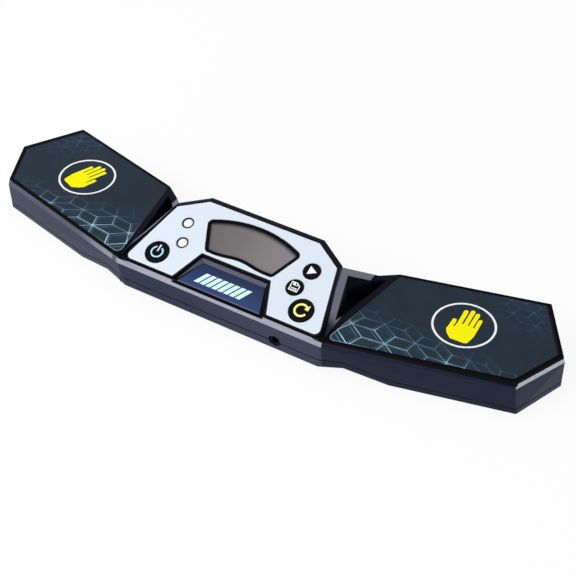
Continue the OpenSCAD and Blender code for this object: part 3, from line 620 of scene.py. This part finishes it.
def new_material(name):
    """A material with its Principled BSDF, and a Shader to fill it."""
    material = bpy.data.materials.new(name)
    material.use_nodes = True
    shader = Shader(material.node_tree)
    return material, shader, material.node_tree.nodes["Principled BSDF"]


def plastic(
    name, colour, gloss, grain=5000.0, depth=0.000006, mottle=0.12, mottle_scale=90.0,
    metallic=0.0, coat=0.0, shine=0.1, edge=0.0,
):
    """Moulded or painted stock: drifting colour, fine grain and handled gloss, and where an edge
    radius is given, rounded edges that are rubbed a little paler. It gives the material, its
    Shader, its Principled BSDF and its colour, for a pattern to be laid over."""
    material, s, bsdf = new_material(name)
    shown = s.group(tinted_mottle(), Color=rgb(colour), Scale=mottle_scale, Amount=mottle)[0]
    grains = s.group(moulded_grain(), Grain_Scale=grain, Gloss=gloss)
    bump = {"Height": grains["Height"], "Distance": depth, "Strength": 0.5}
    if edge:
        rounded = s.group(rounded_edge(), Radius=edge)
        bump["Normal"] = rounded["Normal"]
        worn = s.times(s.noise(s.place(), 180.0, 3.0), rounded["Edge"], 0.35)
        shown = s.mix(worn, shown, rgb(1.75 * part + 0.02 for part in colour))
    values = {
        "Base Color": shown,
        "Roughness": grains["Roughness"],
        "Normal": s.add("ShaderNodeBump", bump).outputs[0],
        "Metallic": metallic,
        "Coat Weight": coat,
        "Coat Roughness": 0.1,
        "Specular IOR Level": shine,
    }
    for key, value in values.items():
        s.put(bsdf.inputs[key], value)
    return material, s, bsdf, shown


def plain(*values, **settings):
    """Stock that carries no pattern of its own."""
    return plastic(*values, **settings)[0]


def on_slope(s):
    """A point on the console: along the timer, up the slope from the front edge, and both."""
    x, y, _ = s.split(s.place())
    up = s.math("DIVIDE", s.minus(y, FRONT_Y), math.cos(TILT))
    return x, up, s.triple(x, up)


# ------------------------------------------------------------------ operators


class PieceOperator:
    """What the operators of the pieces share."""

    bl_options = {"REGISTER", "UNDO"}

    @property
    def sizes(self):
        """Sizes that a user can change."""
        return bpy.context.scene.timer_sizes

    @property
    def colours(self):
        """Colours that a user can change."""
        return bpy.context.scene.timer_colours


class CasePlaces:
    """Where a point of the shells is and which way it faces, and the masks that serve twice."""

    def __init__(self, s):
        place = s.place()
        self.x, self.y, self.z = s.split(place)
        self.to_x, self.to_y, self.to_z = s.split(s.facing())
        self.out, self.sideways = s.abs(self.x), s.abs(self.to_x)
        # How far behind the front edge, which is straight and then sweeps back
        beyond = s.most(s.minus(self.out, ROOT_X), 0.0)
        self.behind = s.math("MULTIPLY_ADD", beyond, -WING_SWEEP, s.minus(self.y, FRONT_Y))
        # How far above the sloping plane
        slope = SLOPE.axes[2]
        self.height = s.minus(s.dot(place, tuple(slope)), float(SLOPE.origin @ slope))
        # Upright, level, bevelled and forward faces
        self.wall = s.below(s.abs(self.to_z), 0.3)
        self.level = s.above(self.to_z, 0.96)
        self.tilted = s.near(self.to_z, 0.4, 0.22)
        self.forward = s.below(self.to_y, -0.85)
        # The strip of the front bevel and what lies behind it
        self.edge = s.below(self.behind, 0.003)
        self.deep = s.above(self.behind, 0.004)
        # The middle between the wings, the recess's walls, and the wings' ends
        self.console = s.below(self.out, ROOT_X)
        self.recess = s.times(self.deep, s.below(self.out, RECESS_X))
        self.tips = s.times(s.above(self.out, 0.12), s.above(self.sideways, 0.6))


class TIMER_OT_case(PieceOperator, bpy.types.Operator):
    """Finish the two shells in satin plastic with black rims, and the battery cover"""

    bl_idname = "timer.case"
    bl_label = "Case"

    def black(self, s, p):
        """Black trim and painted shade: the upper part of each bevel and the right side of the
        recess drawn black as painted shade, the black ledge of the recess, painted shade over most
        of what lies inside the pockets, and the parting line drawn darker and wider than its
        groove. The right wing's front wall is drawn a little darker too, as painted shade."""
        # Painted shade: the upper part of each bevel is drawn black. It starts 18.6 mm up on the
        # wings, sinks to 17 mm along the right one, and starts 18 mm up at the tips
        wing = s.slide(p.x, ROOT_X, 0.13, 0.0186, 0.0170)
        wing = s.most(wing, s.times(s.above(p.out, 0.1338), 0.018))
        wing = s.times(s.above(p.out, ROOT_X), s.above(s.minus(p.z, wing), 0.0))
        console = s.times(p.console, s.above(p.height, -0.0001))
        bevels = s.times(s.most(wing, console), s.above(p.to_z, 0.2))
        # Painted shade: the right side of the recess drawn black
        side = s.times(p.recess, s.below(p.to_x, -0.3))
        ledge = s.times(s.below(p.out, RECESS_X + 0.0002), p.level)
        # Painted shade: most of what lies inside the pockets, walls and floor, drawn nearly black
        pocket = s.times(s.below(p.out, 0.07), s.above(p.sideways, 0.5), p.wall)
        bed = s.times(s.below(p.z, 0.0185), p.level, s.above(p.out, 0.04))
        painted_pocket_shade = s.times(s.most(pocket, bed), p.deep, 0.9)
        # The parting line rises beside the arch and runs down again along the wings
        rise = s.slide(p.out, 0.0509, 0.0625, 0.00715, 0.00905)
        fall = s.slide(p.out, 0.0625, 0.0819, 0.0, 0.0053)
        seam = s.times(s.near(p.z, s.minus(rise, fall), 0.0003), p.wall, 0.95)
        # Painted shade: the right wing's front wall drawn a little darker
        right = s.times(s.above(p.x, ROOT_X), p.forward, p.wall, 0.4)
        return s.most(bevels, side, ledge, painted_pocket_shade, seam, right)

    def bright(self, s, p):
        """Painted highlights in the bevel colour: on the front bevel of the console and, fading,
        of the left wing, on the bevels of the wing tips, faintly on those of the recess, and on
        the ridges beside the panel, and a painted sheen on the right half of the console's front
        wall."""
        # Painted highlight on the front bevel of the console, fading along the left wing
        fading = s.most(s.ramp(p.x, -0.084, -0.058, 0.2, 0.7), p.console)
        # Weaker by 0.7 where console and wing meet
        joint = s.math("MULTIPLY_ADD", s.near(p.out, 0.0556, 0.0012), -0.7, 1.0)
        front = s.times(p.forward, p.edge, s.below(p.x, ROOT_X), fading, joint)
        bevels = s.most(front, s.times(p.tips, 0.9), s.times(p.recess, 0.3))
        bevels = s.times(bevels, p.tilted)
        # Painted highlight on a narrow face where the side bevel runs out on the front one
        runout = s.times(s.near(p.sideways, 0.279, 0.03), s.above(p.to_z, 0.94))
        runout = s.times(runout, s.above(p.z, 0.0165), p.edge)
        # Painted highlight on the ridges beside the panel
        ridge_highlight = s.times(s.near(p.sideways, 0.685, 0.02), s.above(p.to_z, 0.7))
        ridge_highlight = s.times(ridge_highlight, s.ramp(p.y, -0.028, -0.02, 0.0, 0.7))
        # Painted sheen on the right half of the console's front wall
        sheen = s.times(p.wall, s.ramp(p.x, -0.03, 0.03, 0.0, 0.065), p.console)
        return s.most(bevels, runout, ridge_highlight, sheen)

    def rim(self):
        """The rims' black, less deep beside the pockets, with a painted highlight in the bevel's
        colour on its front lip before the panel, like the bevel below it."""
        c = self.colours
        rim, s, bsdf, tint = plastic("rim_plastic", c.rim, 0.25, depth=0.000002, shine=0.02)
        x, y, _ = s.split(s.place())
        out = s.abs(x)
        inner = s.times(s.ramp(s.minus(0.0655, out), 0.0, 0.002), s.ramp(y, -0.03, -0.02))
        shown = s.mix(inner, tint, (0.007, 0.007, 0.013, 1))
        # Painted highlight on the front lip before the panel, in the bevel's colour
        lip = s.ramp(y, FRONT_Y + 0.0009, FRONT_Y + 0.0011, 1.0, 0.0)
        lip = s.times(s.below(out, 0.051), lip)
        s.put(bsdf.inputs["Base Color"], s.mix(lip, shown, rgb(c.bevel)))
        return rim

    def rim_faces(self, middles, normals):
        """The flat rims round the pads, the panel and the corners between them."""
        slope = SLOPE.axes[2]
        height = middles @ slope - SLOPE.origin @ slope
        out, up = np.abs(middles[:, 0]), middles[:, 2]
        level = (normals @ slope > 0.999) & (height > -0.0012)
        pads = (normals[:, 2] > 0.999) & (up > FILM_TOP)
        rear = (normals[:, 1] > 0.05) & (normals[:, 2] > 0.9) & (up > FILM_TOP)
        corner = (normals[:, 2] > 0.7) & (np.abs(out - 0.0535) < 0.004) & (up > 0.0185)
        return level | pads | rear | (corner & (middles[:, 1] < -0.03))

    def execute(self, context):
        """Dresses the shells and the cover."""
        c, radius = self.colours, self.sizes.edge_round
        shells, s, bsdf, tint = plastic("case_plastic", c.case, 0.3, shine=0.08, edge=radius)
        gloss = bsdf.inputs["Roughness"].links[0].from_socket
        places = CasePlaces(s)
        black = self.black(s, places)
        # Painted highlights in the bevel colour
        shown = s.mix(self.bright(s, places), tint, rgb(c.bevel))
        # Painted highlight on the bevels of the wing tips, partly in the panel's colour
        shown = s.mix(s.times(places.tips, places.tilted, 0.42), shown, rgb(c.panel))
        # Black trim and painted shade in the rim colour
        s.put(bsdf.inputs["Base Color"], s.mix(black, shown, rgb(c.rim)))
        s.put(bsdf.inputs["Roughness"], s.most(gloss, s.times(black, 0.9)))
        dress(shells, "upper_case", "base_case")
        finish_faces(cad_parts["upper_case"], self.rim(), self.rim_faces)
        dress(plain("cover_plastic", c.case, 0.42, shine=0.15, edge=radius), "battery_cover")
        return {"FINISHED"}


class TIMER_OT_panel(PieceOperator, bpy.types.Operator):
    """Finish the white console panel, with the black line round the recess"""

    bl_idname = "timer.panel"
    bl_label = "Console panel"

    def execute(self, context):
        """Dresses the panel."""
        c = self.colours
        material, s, bsdf, tint = plastic(
            "panel_print", c.panel, 0.34, mottle=0.025, mottle_scale=40.0, depth=0.000002
        )
        x, up, flat = on_slope(s)
        across = s.abs(x)
        # Distance outside the recess: from its slanted side and from its back edge
        beside = s.past(across, up, (15.4, 6.4), (23.9, 2.1))
        line = s.ramp(s.most(beside, s.minus(up, 0.0175)), 0.00085, 0.00105, 1.0, 0.0)
        # Black border with rounded front corners: from the slanted side and from the front edge
        inside = s.minus(-0.45 * MM, s.past(across, up, (33.0, 8.7), (51.3, 2.1)))
        border = s.corner(inside, s.minus(up, 2.85 * MM), 3.2 * MM)
        line = s.most(line, s.ramp(border, -0.00008, 0.00008, 1.0, 0.0))
        # Dark gaps round the keys
        for u, v, radius in KEY_PLACES.values():
            gap = s.below(s.apart(flat, (u * MM, v * MM, 0.0)), radius * 1.05 * MM)
            line = s.most(line, gap)
        s.put(bsdf.inputs["Base Color"], s.mix(line, tint, rgb(c.ink_black)))
        dress(material, "console_panel")
        return {"FINISHED"}


class TIMER_OT_display(PieceOperator, bpy.types.Operator):
    """Finish the display: its black frame, its clear window and the unlit glass"""

    bl_idname = "timer.display"
    bl_label = "Display"

    def execute(self, context):
        """Makes the frame and dresses the window, with a painted shadow along its top and left
        edges and lighter towards the right.
        """
        c = self.colours
        black = plain("frame_plastic", c.ink_black, 0.3, depth=0.000003, shine=0.03)
        rounded_copy("display_frame", "window_frame", 0.0001, black)
        material, s, bsdf, tint = plastic(
            "window_plastic", c.display, 0.16, mottle=0.05, mottle_scale=50.0, depth=0.000001
        )
        x, up, flat = on_slope(s)
        lip = 0.0014  # width of the frame over the window
        # The top edge is an arc of radius 57.27 mm about a point below the display
        below_top = s.minus(0.05727 - lip, s.apart(flat, (0.0, -0.01677, 0.0)))
        from_left = s.minus(s.past(x, up, (15.4, 7.1), (-24.7, 34.9)), lip)
        # Painted shadow of the frame along the window's top and left edges
        shade = s.ramp(below_top, -0.0002, 0.0022)
        shade = s.times(shade, s.ramp(from_left, -0.0002, 0.0016, 0.25, 1.0))
        shade = s.math("MULTIPLY_ADD", shade, 0.94, 0.06)
        # Lighter towards the right
        gain = s.times(shade, s.ramp(x, -0.026, 0.026, 0.72, 1.22))
        s.put(bsdf.inputs["Base Color"], s.scaled(tint, gain))
        dress(material, "display_window")
        dress(plain("display_stack", c.display, 0.1, mottle=0.02), "display_glass")
        dress(plain("contact_rubber", (0.45, 0.28, 0.26), 0.7), "display_connector")
        return {"FINISHED"}


class TIMER_OT_badge(PieceOperator, bpy.types.Operator):
    """Finish the navy panel in the recess and set a plain row of slanted bars on it"""

    bl_idname = "timer.badge"
    bl_label = "Badge panel"

    def execute(self, context):
        """Dresses the panel, with a pale front edge and black sides, and makes the bars."""
        c = self.colours
        material, s, bsdf, tint = plastic("badge_film", c.badge, 0.3, mottle=0.1)
        y, rise = s.split(s.place())[1], s.split(s.facing())[2]
        shade = s.scaled(tint, s.ramp(y, FRONT_Y, FRONT_Y + 0.017, 1.15, 0.55))
        edge_y = -0.03445  # where its face ends at the front
        pale = s.times(s.near(y, edge_y + 0.0002, 0.0002), 0.35)
        shade = s.mix(pale, shade, (0.3, 0.34, 0.5, 1))
        dark = s.most(s.below(y, edge_y), s.below(rise, 0.5))
        s.put(bsdf.inputs["Base Color"], s.mix(dark, shade, rgb(c.rim)))
        dress(material, "badge_panel")
        # Slanted bars in a row, each a parallelogram that leans by half its height
        ink = plain("bar_ink", c.bars, 0.35, mottle=0.04)
        corners = np.array([(0, 5.0), (2.3, 5.0), (5.4, 11.2), (3.1, 11.2)])
        bars = [prism(corners + (u, 0)) for u in np.linspace(-14.6, 7.0, 8)]
        points, faces = joined(*bars)
        make_piece("badge_bars", (points * (MM, MM, self.sizes.ink), faces), NOTCH, "case", ink)
        return {"FINISHED"}


class TIMER_OT_keys(PieceOperator, bpy.types.Operator):
    """Turn the four key caps and print their signs"""

    bl_idname = "timer.keys"
    bl_label = "Keys"

    def signs(self):
        """Each key's sign as flat solids of unit thickness, in millimetres round its middle."""
        power = joined(
            stroke(arc((0, 0), 2.7, 118, 422, 48), 0.72),
            stroke([(0, 0.3), (0, 3.9)], 0.72),
        )
        head = prism([(3.1, 0.55), (3.06, 3.6), (1.0, 0.95)])
        reset = joined(stroke(arc((0, 0), 2.87, 48, 338, 48), 1.0), head)
        start = prism(rounded_corners([(-1.45, -2.15), (2.5, 0), (-1.45, 2.15)], 0.12))
        outline = [(-2.1, -1.85), (2.0, -1.85), (2.0, 0.95), (0.4, 2.2), (-2.1, 2.2)]
        save = joined(
            stroke(outline, 0.4, closed=True),
            stroke([(-1.2, -1.7), (-1.2, -0.55), (1.2, -0.55), (1.2, -1.7)], 0.32),
            stroke([(-0.6, -1.15), (0.6, -1.15)], 0.3),
            prism([(-1.3, 0.75), (-0.2, 0.75), (-0.2, 2.1), (-1.3, 2.1)]),
            stroke([(-0.3, 0.92), (0.75, 0.92), (0.75, 1.7)], 0.34),
        )
        return {"power": power, "reset": reset, "up": start, "save": save}

    def execute(self, context):
        """Makes the caps, each with its rim below the panel and its foot, and the signs."""
        c, sizes = self.colours, self.sizes
        black = plain("key_plastic", c.ink_black, 0.32, depth=0.000004, shine=0.04)
        inks = {
            "power": plain("power_ink", c.power, 0.4, mottle=0.05),
            "reset": plain("reset_ink", c.reset, 0.4, mottle=0.05),
        }
        inks["up"] = inks["save"] = plain("white_sign_ink", c.white, 0.4, mottle=0.03)
        signs = self.signs()
        bend = np.radians(np.linspace(90, 0, 7))
        top, soft = 0.4, sizes.key_round / MM
        for key, (u, v, r) in KEY_PLACES.items():
            arch = (r - soft + soft * np.cos(bend), top - soft + soft * np.sin(bend))
            rim = [(r, -2.8), (r + 0.9, -2.8), (r + 0.9, -3.6)]
            foot = [(1.6, -3.6), (1.6, -3.9), (0, -3.9)]
            profile = np.vstack([[(0, top)], np.column_stack(arch), rim, foot])
            cap = moved(lathe(profile * MM), u * MM, v * MM)
            body, node = key + "_button", key + "_key"
            make_piece(key + "_cap", cap, SLOPE, body, black, (node,), smooth_angle=30)
            points, faces = signs[key]
            points = points * (MM, MM, sizes.ink) + (u * MM, v * MM, top * MM)
            make_piece(key + "_sign", (points, faces), SLOPE, body, inks[key])
        dark = plain("plunger_plastic", (0.02, 0.02, 0.022), 0.5)
        dress(dark, "power_plunger", "reset_plunger", "up_plunger", "save_plunger")
        return {"FINISHED"}


class TIMER_OT_lights(PieceOperator, bpy.types.Operator):
    """Turn the domed lenses of the two signal lights"""

    bl_idname = "timer.lights"
    bl_label = "Signal lights"

    def execute(self, context):
        """Makes the lenses with their legs."""
        lens = plain("lens_milk", (0.85, 0.87, 0.9), 0.25, mottle=0.02, coat=0.3)
        # A flattened dome: the cap of a ball, 0.35 of its height
        slope = np.radians(np.linspace(86, 40, 9))
        radius, base = 2.3, -4.2
        bow = radius / math.cos(slope[-1])
        dome = np.column_stack([bow * np.cos(slope), 0.35 * bow * (np.sin(slope) - 1)])
        profile = np.vstack([[(0, 0)], dome, [(radius, base), (0, base)]])
        leg = np.array([(0, base), (0.25, base), (0.25, -6.6), (0, -6.6)])
        legs = [moved(lathe(leg * MM, 12), side * 1.27 * MM) for side in (-1, 1)]
        solid = joined(lathe(profile * MM, 64), *legs)
        for node, (u, v) in LIGHT_PLACES.items():
            part = moved(solid, u * MM, v * MM)
            make_piece(node + "_lens", part, SLOPE, "case", lens, (node,), 40)
        ring = plain("sleeve_plastic", self.colours.ink_black, 0.35, shine=0.03)
        rounded_copy("light_sleeves", "lens_sleeves", 0.00008, ring)
        return {"FINISHED"}


FILM_SIDES = (  # on the right pad: a point of the side, its inward normal, black border, in mm
    ((56.95, -33.08), (-0.2403, 0.9707), 0.0),
    ((54.50, -30.80), (0.9860, -0.1666), 0.0),
    ((132.43, -13.61), (-0.9106, 0.4133), 0.5),
    ((141.80, 9.14), (-0.8550, -0.5190), 0.9),
)


def pad_material(colours):
    """Printed film: slate ground, with lines of light blue cubes that fade out from the inner
    front corner, and again faintly at the outer rear corner. The pads mirror each other."""
    material, s, bsdf, tint = plastic(
        "pad_film_print", colours.film, 0.42, grain=2600.0, depth=0.00001, mottle=0.2, shine=0.06
    )
    lattice = s.group(cube_lattice(), Width=0.031)
    ghost = s.group(cube_lattice(), Width=0.03, Shift=(0.17, 0.1, 0.0))
    x, y, _ = s.split(s.place())
    across, back = s.minus(s.abs(x), ROOT_X), s.minus(y, FRONT_Y)
    flat = s.triple(across, back)
    # The fading: along the front edge and inward from it, and round the outer rear corner
    along = s.past(across, back, (80.4, 19.9))
    inward = s.past(across, back, (-19.9, 80.4))
    near = s.ramp(s.weigh(along, 1 / 0.110, inward, 1 / 0.036), 1.12, -0.05)
    far = s.ramp(s.apart(flat, (0.071, 0.070, 0.0)), 0.004, 0.030, 1.0, 0.0)
    fade = s.math("ADD", near, s.times(far, 0.22), clamp=True)
    # Each cell has its own strength, its corners are stronger, and the ink drifts
    lively = s.ramp(lattice["Cell"], 0.0, 1.0, 0.6, 1.15)
    lively = s.math("MULTIPLY_ADD", lattice["Corner"], 0.3, lively)
    drift = s.ramp(s.noise(s.place(), 110.0), 0.35, 0.65, 0.55, 1.3)
    line = s.most(lattice["Line"], s.times(ghost["Line"], 0.2))
    ink = s.math("MULTIPLY", s.times(line, fade, lively), drift, clamp=True)
    wash = s.times(lattice["Face"], fade, 0.1, lively)
    light, blue = rgb(colours.lattice), rgb(colours.lattice_far)
    base = s.mix(wash, tint, blue)
    base = s.mix(ink, base, s.mix(s.math("MULTIPLY", near, 1.8, clamp=True), blue, light))
    # Black border: wider at the tip, and rounded at the inner front corner with a pale line, a
    # painted highlight along the film's edge
    inside = [
        s.minus(s.past(across, y, normal, (u - ROOT_X / MM, v)), margin * MM)
        for (u, v), normal, margin in FILM_SIDES
    ]
    depth = s.least(s.corner(*inside[:2], 3.6 * MM), *inside[2:])
    # Pale line along the film's edge at the inner front corner: a painted highlight
    pale = s.ramp(s.apart(flat, (0.0015, 0.0045, 0.0)), 0.005, 0.024, 0.3, 0.0)
    base = s.mix(s.times(s.near(depth, 0.0003, 0.0002), pale), base, light)
    s.put(bsdf.inputs["Base Color"], s.mix(s.below(depth, 0.0), base, rgb(colours.rim)))
    return material


def hand_outline():
    """A flat raised right hand in millimetres, thumb to the left, counterclockwise from the wrist.
    Each finger is two straight sides and a round tip; narrow slits part the fingers."""
    fingers = [  # middle of the base, middle of the round tip, half width
        ((5.45, 0.3), (5.1, 5.6), 0.88),
        ((2.95, 0.5), (2.6, 8.6), 0.97),
        ((0.45, 0.4), (-0.05, 9.4), 0.97),
        ((-2.15, 0.3), (-2.7, 8.1), 0.98),
        ((-4.72, -3.1), (-4.85, 0.8), 0.97),
    ]
    outline = [np.array([(4.6, -10.1), (5.8, -9.4), (6.6, -4.6)])]
    for base, tip, half in fingers:
        base, tip = np.array(base), np.array(tip)
        ahead = (tip - base) / np.linalg.norm(tip - base)
        side = np.array([ahead[1], -ahead[0]]) * half
        lean = math.degrees(math.atan2(ahead[1], ahead[0]))
        outline += [[base + side], arc(tip, half, lean - 90, lean + 90, 12), [base - side]]
    outline.insert(-3, np.array([(-3.3, -3.2)]))
    outline.append(np.array([(-5.8, -5.6), (-4.3, -8.1), (-1.9, -10.3)]))
    return np.vstack(outline)


class TIMER_OT_pads(PieceOperator, bpy.types.Operator):
    """Print the two touch pads with their lattice, rings and hands"""

    bl_idname = "timer.pads"
    bl_label = "Touch pads"

    def execute(self, context):
        """Dresses the films and makes the signs."""
        c, sizes = self.colours, self.sizes
        dress(pad_material(c), "left_pad_film", "right_pad_film")
        yellow = plain("hand_ink", c.hand, 0.5, mottle=0.03)
        white = plain("ring_ink", c.white, 0.5, mottle=0.03)
        palm = hand_outline() * MM
        ring = arc((0, 0), sizes.ring_radius, 0, 360, 120)[:-1]
        for label, (u, v, turn) in HANDS.items():
            outline = palm if u > 0 else palm[::-1] * (-1, 1)
            cos, sin = math.cos(math.radians(turn)), math.sin(math.radians(turn))
            outline = outline @ np.array([[cos, sin], [-sin, cos]])
            hand = moved(prism(outline, sizes.ink), u, v)
            make_piece(label + "_hand_sign", hand, PAD, "case", yellow)
            band = moved(stroke(ring, sizes.ring_width, sizes.ink, closed=True), u, v)
            make_piece(label + "_ring", band, PAD, "case", white)
        steel = plain("sensor_steel", (0.55, 0.56, 0.57), 0.3, metallic=1.0, grain=900.0)
        dress(steel, "left_sensor_plate", "right_sensor_plate")
        return {"FINISHED"}


METAL = {"metallic": 1.0}
WORKS = (  # nodes, their finish, its colour and gloss, and what else it takes
    (("main_board",), "board_lacquer", (0.02, 0.12, 0.05), 0.3, {"mottle": 0.3}),
    (("timer_chip",), "chip_resin", (0.012, 0.012, 0.013), 0.55, {}),
    (("clock_crystal", "switch_bodies"), "tin", (0.5, 0.51, 0.53), 0.3, METAL),
    (("left_sensor_lead", "right_sensor_lead"), "yellow_lead", (0.55, 0.36, 0.03), 0.4, {}),
    (("jack_leads", "battery_leads"), "red_lead", (0.45, 0.04, 0.03), 0.4, {}),
    (("front_cell", "rear_cell"), "cell_wrap", (0.45, 0.3, 0.06), 0.25, {"metallic": 0.6}),
    (("battery_contacts", "contact_springs"), "nickel", (0.65, 0.66, 0.68), 0.22, METAL),
    (("case_screws", "board_screws"), "zinc", (0.4, 0.41, 0.43), 0.34, METAL),
    (("rubber_feet",), "foot_rubber", (0.015, 0.015, 0.017), 0.75, {}),
)


class TIMER_OT_works(PieceOperator, bpy.types.Operator):
    """Finish the socket, the board, the cells, the leads, the screws and the feet"""

    bl_idname = "timer.works"
    bl_label = "Socket and works"

    def execute(self, context):
        """Dresses what lies in and under the case."""
        socket = plain("socket_plastic", self.colours.ink_black, 0.35)
        rounded_copy("data_jack", "plug_socket", 0.00015, socket)
        for nodes, name, colour, gloss, settings in WORKS:
            dress(plain(name, colour, gloss, **settings), *nodes)
        return {"FINISHED"}


SKY = 0.25  # strength of the world on surfaces
LAMPS = {  # place, aim, size, power
    "front_left_box": ((-0.475, -0.80, 0.78), (0, 0, 0.02), (0.6, 0.6), 7.0),
    "front_strip": ((-0.36, -1.04, 0.13), (0, 0, 0.02), (0.42, 0.14), 5.0),
    "left_lamp": ((-1.10, -0.455, 0.49), (0, 0, 0.02), (0.6, 0.6), 6.0),
    "right_strip": ((1.10, 0.02, 0.15), (0, 0, 0.02), (0.30, 0.14), 4.6),
    "overhead_lamp": ((-0.10, 0.25, 1.20), (0, 0, 0), (0.8, 0.8), 3.7),
}
LENS = 80.15  # of the camera fitted to the photograph, in mm on a sensor of 36
CAMERA_PLACE = (0.23970, -0.37419, 0.39723)
CAMERA_TURN, CAMERA_RISE = math.radians(30.95), math.radians(42.01)


def add_to_scene(name, data, place, back):
    """A lamp or camera at its place, with its back turned to a direction."""
    holder = bpy.data.objects.new(name, data)
    holder.location = place
    holder.rotation_euler = (-back).to_track_quat("-Z", "Y").to_euler()
    bpy.context.scene.collection.objects.link(holder)
    return holder


def background_rays(shader):
    """One for the rays that show the background: seen, mirrored or passed on."""
    path = shader.add("ShaderNodeLightPath").outputs
    rays = ("Is Camera Ray", "Is Glossy Ray", "Is Transmission Ray")
    return shader.most(*(path[ray] for ray in rays))


class TIMER_OT_stage(PieceOperator, bpy.types.Operator):
    """Set up the floor, the lamps, the world and the camera"""

    bl_idname = "timer.stage"
    bl_label = "Stage"

    def floor(self, scene):
        """Pale paper that takes shadows and shows as nearly white."""
        mesh = bpy.data.meshes.new("floor")
        corners = [(-4, -4, 0), (4, -4, 0), (4, 4, 0), (-4, 4, 0)]
        mesh.from_pydata(corners, [], [[0, 1, 2, 3]])
        floor = bpy.data.objects.new("floor", mesh)
        scene.collection.objects.link(floor)
        material, s, bsdf = new_material("floor_paper")
        s.put(bsdf.inputs["Base Color"], (0.94, 0.94, 0.94, 1))
        s.put(bsdf.inputs["Roughness"], 0.9)
        s.put(bsdf.inputs["Specular IOR Level"], 0.1)
        glow = s.add("ShaderNodeEmission", {"Color": (1, 1, 1, 1), "Strength": 1.0})
        inputs = {0: s.times(background_rays(s), 0.9), 1: bsdf.outputs[0], 2: glow.outputs[0]}
        mixed = s.add("ShaderNodeMixShader", inputs).outputs[0]
        s.put(material.node_tree.nodes["Material Output"].inputs["Surface"], mixed)
        mesh.materials.append(material)

    def execute(self, context):
        """Makes the stage."""
        scene = context.scene
        self.floor(scene)
        world = bpy.data.worlds.new("studio")
        world.use_nodes = True
        scene.world = world
        w = Shader(world.node_tree)
        background = world.node_tree.nodes["Background"].inputs
        w.put(background["Strength"], w.math("MULTIPLY_ADD", background_rays(w), 1.0 - SKY, SKY))
        w.put(background["Color"], (1, 1, 1, 1))

        for name, (place, aim, size, power) in LAMPS.items():
            lamp = bpy.data.lights.new(name, "AREA")
            lamp.shape = "RECTANGLE"
            lamp.size, lamp.size_y = size
            lamp.energy = power
            add_to_scene(name, lamp, place, Vector(place) - Vector(aim))

        data = bpy.data.cameras.new("camera")
        data.lens = LENS
        data.sensor_width = 36
        data.clip_start = 0.01
        side, rise = math.cos(CAMERA_RISE), math.sin(CAMERA_RISE)
        back = Vector((math.sin(CAMERA_TURN) * side, -math.cos(CAMERA_TURN) * side, rise))
        scene.camera = add_to_scene("camera", data, CAMERA_PLACE, back)
        scene.view_settings.view_transform = "Standard"
        return {"FINISHED"}


class TIMER_PT_panel(bpy.types.Panel):
    """Lists the pieces and the values that a user can change"""

    bl_label = "Cube timer"
    bl_idname = "TIMER_PT_panel"
    bl_space_type = "VIEW_3D"
    bl_region_type = "UI"
    bl_category = "Cube timer"

    def draw(self, context):
        """Draws the buttons and the values."""
        for step in STEPS:
            self.layout.operator(step.bl_idname)
        for group in (context.scene.timer_sizes, context.scene.timer_colours):
            box = self.layout.box()
            for key in group.bl_rna.properties.keys():
                if key not in ("rna_type", "name"):
                    box.prop(group, key)


STEPS = (
    TIMER_OT_stage,
    TIMER_OT_case,
    TIMER_OT_panel,
    TIMER_OT_display,
    TIMER_OT_badge,
    TIMER_OT_keys,
    TIMER_OT_lights,
    TIMER_OT_pads,
    TIMER_OT_works,
)
CLASSES = (TimerSizes, TimerColours, *STEPS, TIMER_PT_panel)


def register():
    """Adds the classes and the scene's values."""
    for cls in CLASSES:
        bpy.utils.register_class(cls)
    bpy.types.Scene.timer_sizes = bpy.props.PointerProperty(type=TimerSizes)
    bpy.types.Scene.timer_colours = bpy.props.PointerProperty(type=TimerColours)


def unregister():
    """Takes the classes and the scene's values away."""
    del bpy.types.Scene.timer_colours
    del bpy.types.Scene.timer_sizes
    for cls in reversed(CLASSES):
        bpy.utils.unregister_class(cls)


def main():
    register()
    for step in STEPS:
        group, name = step.bl_idname.split(".")
        getattr(getattr(bpy.ops, group), name)()


if __name__ == "__main__":
    main()
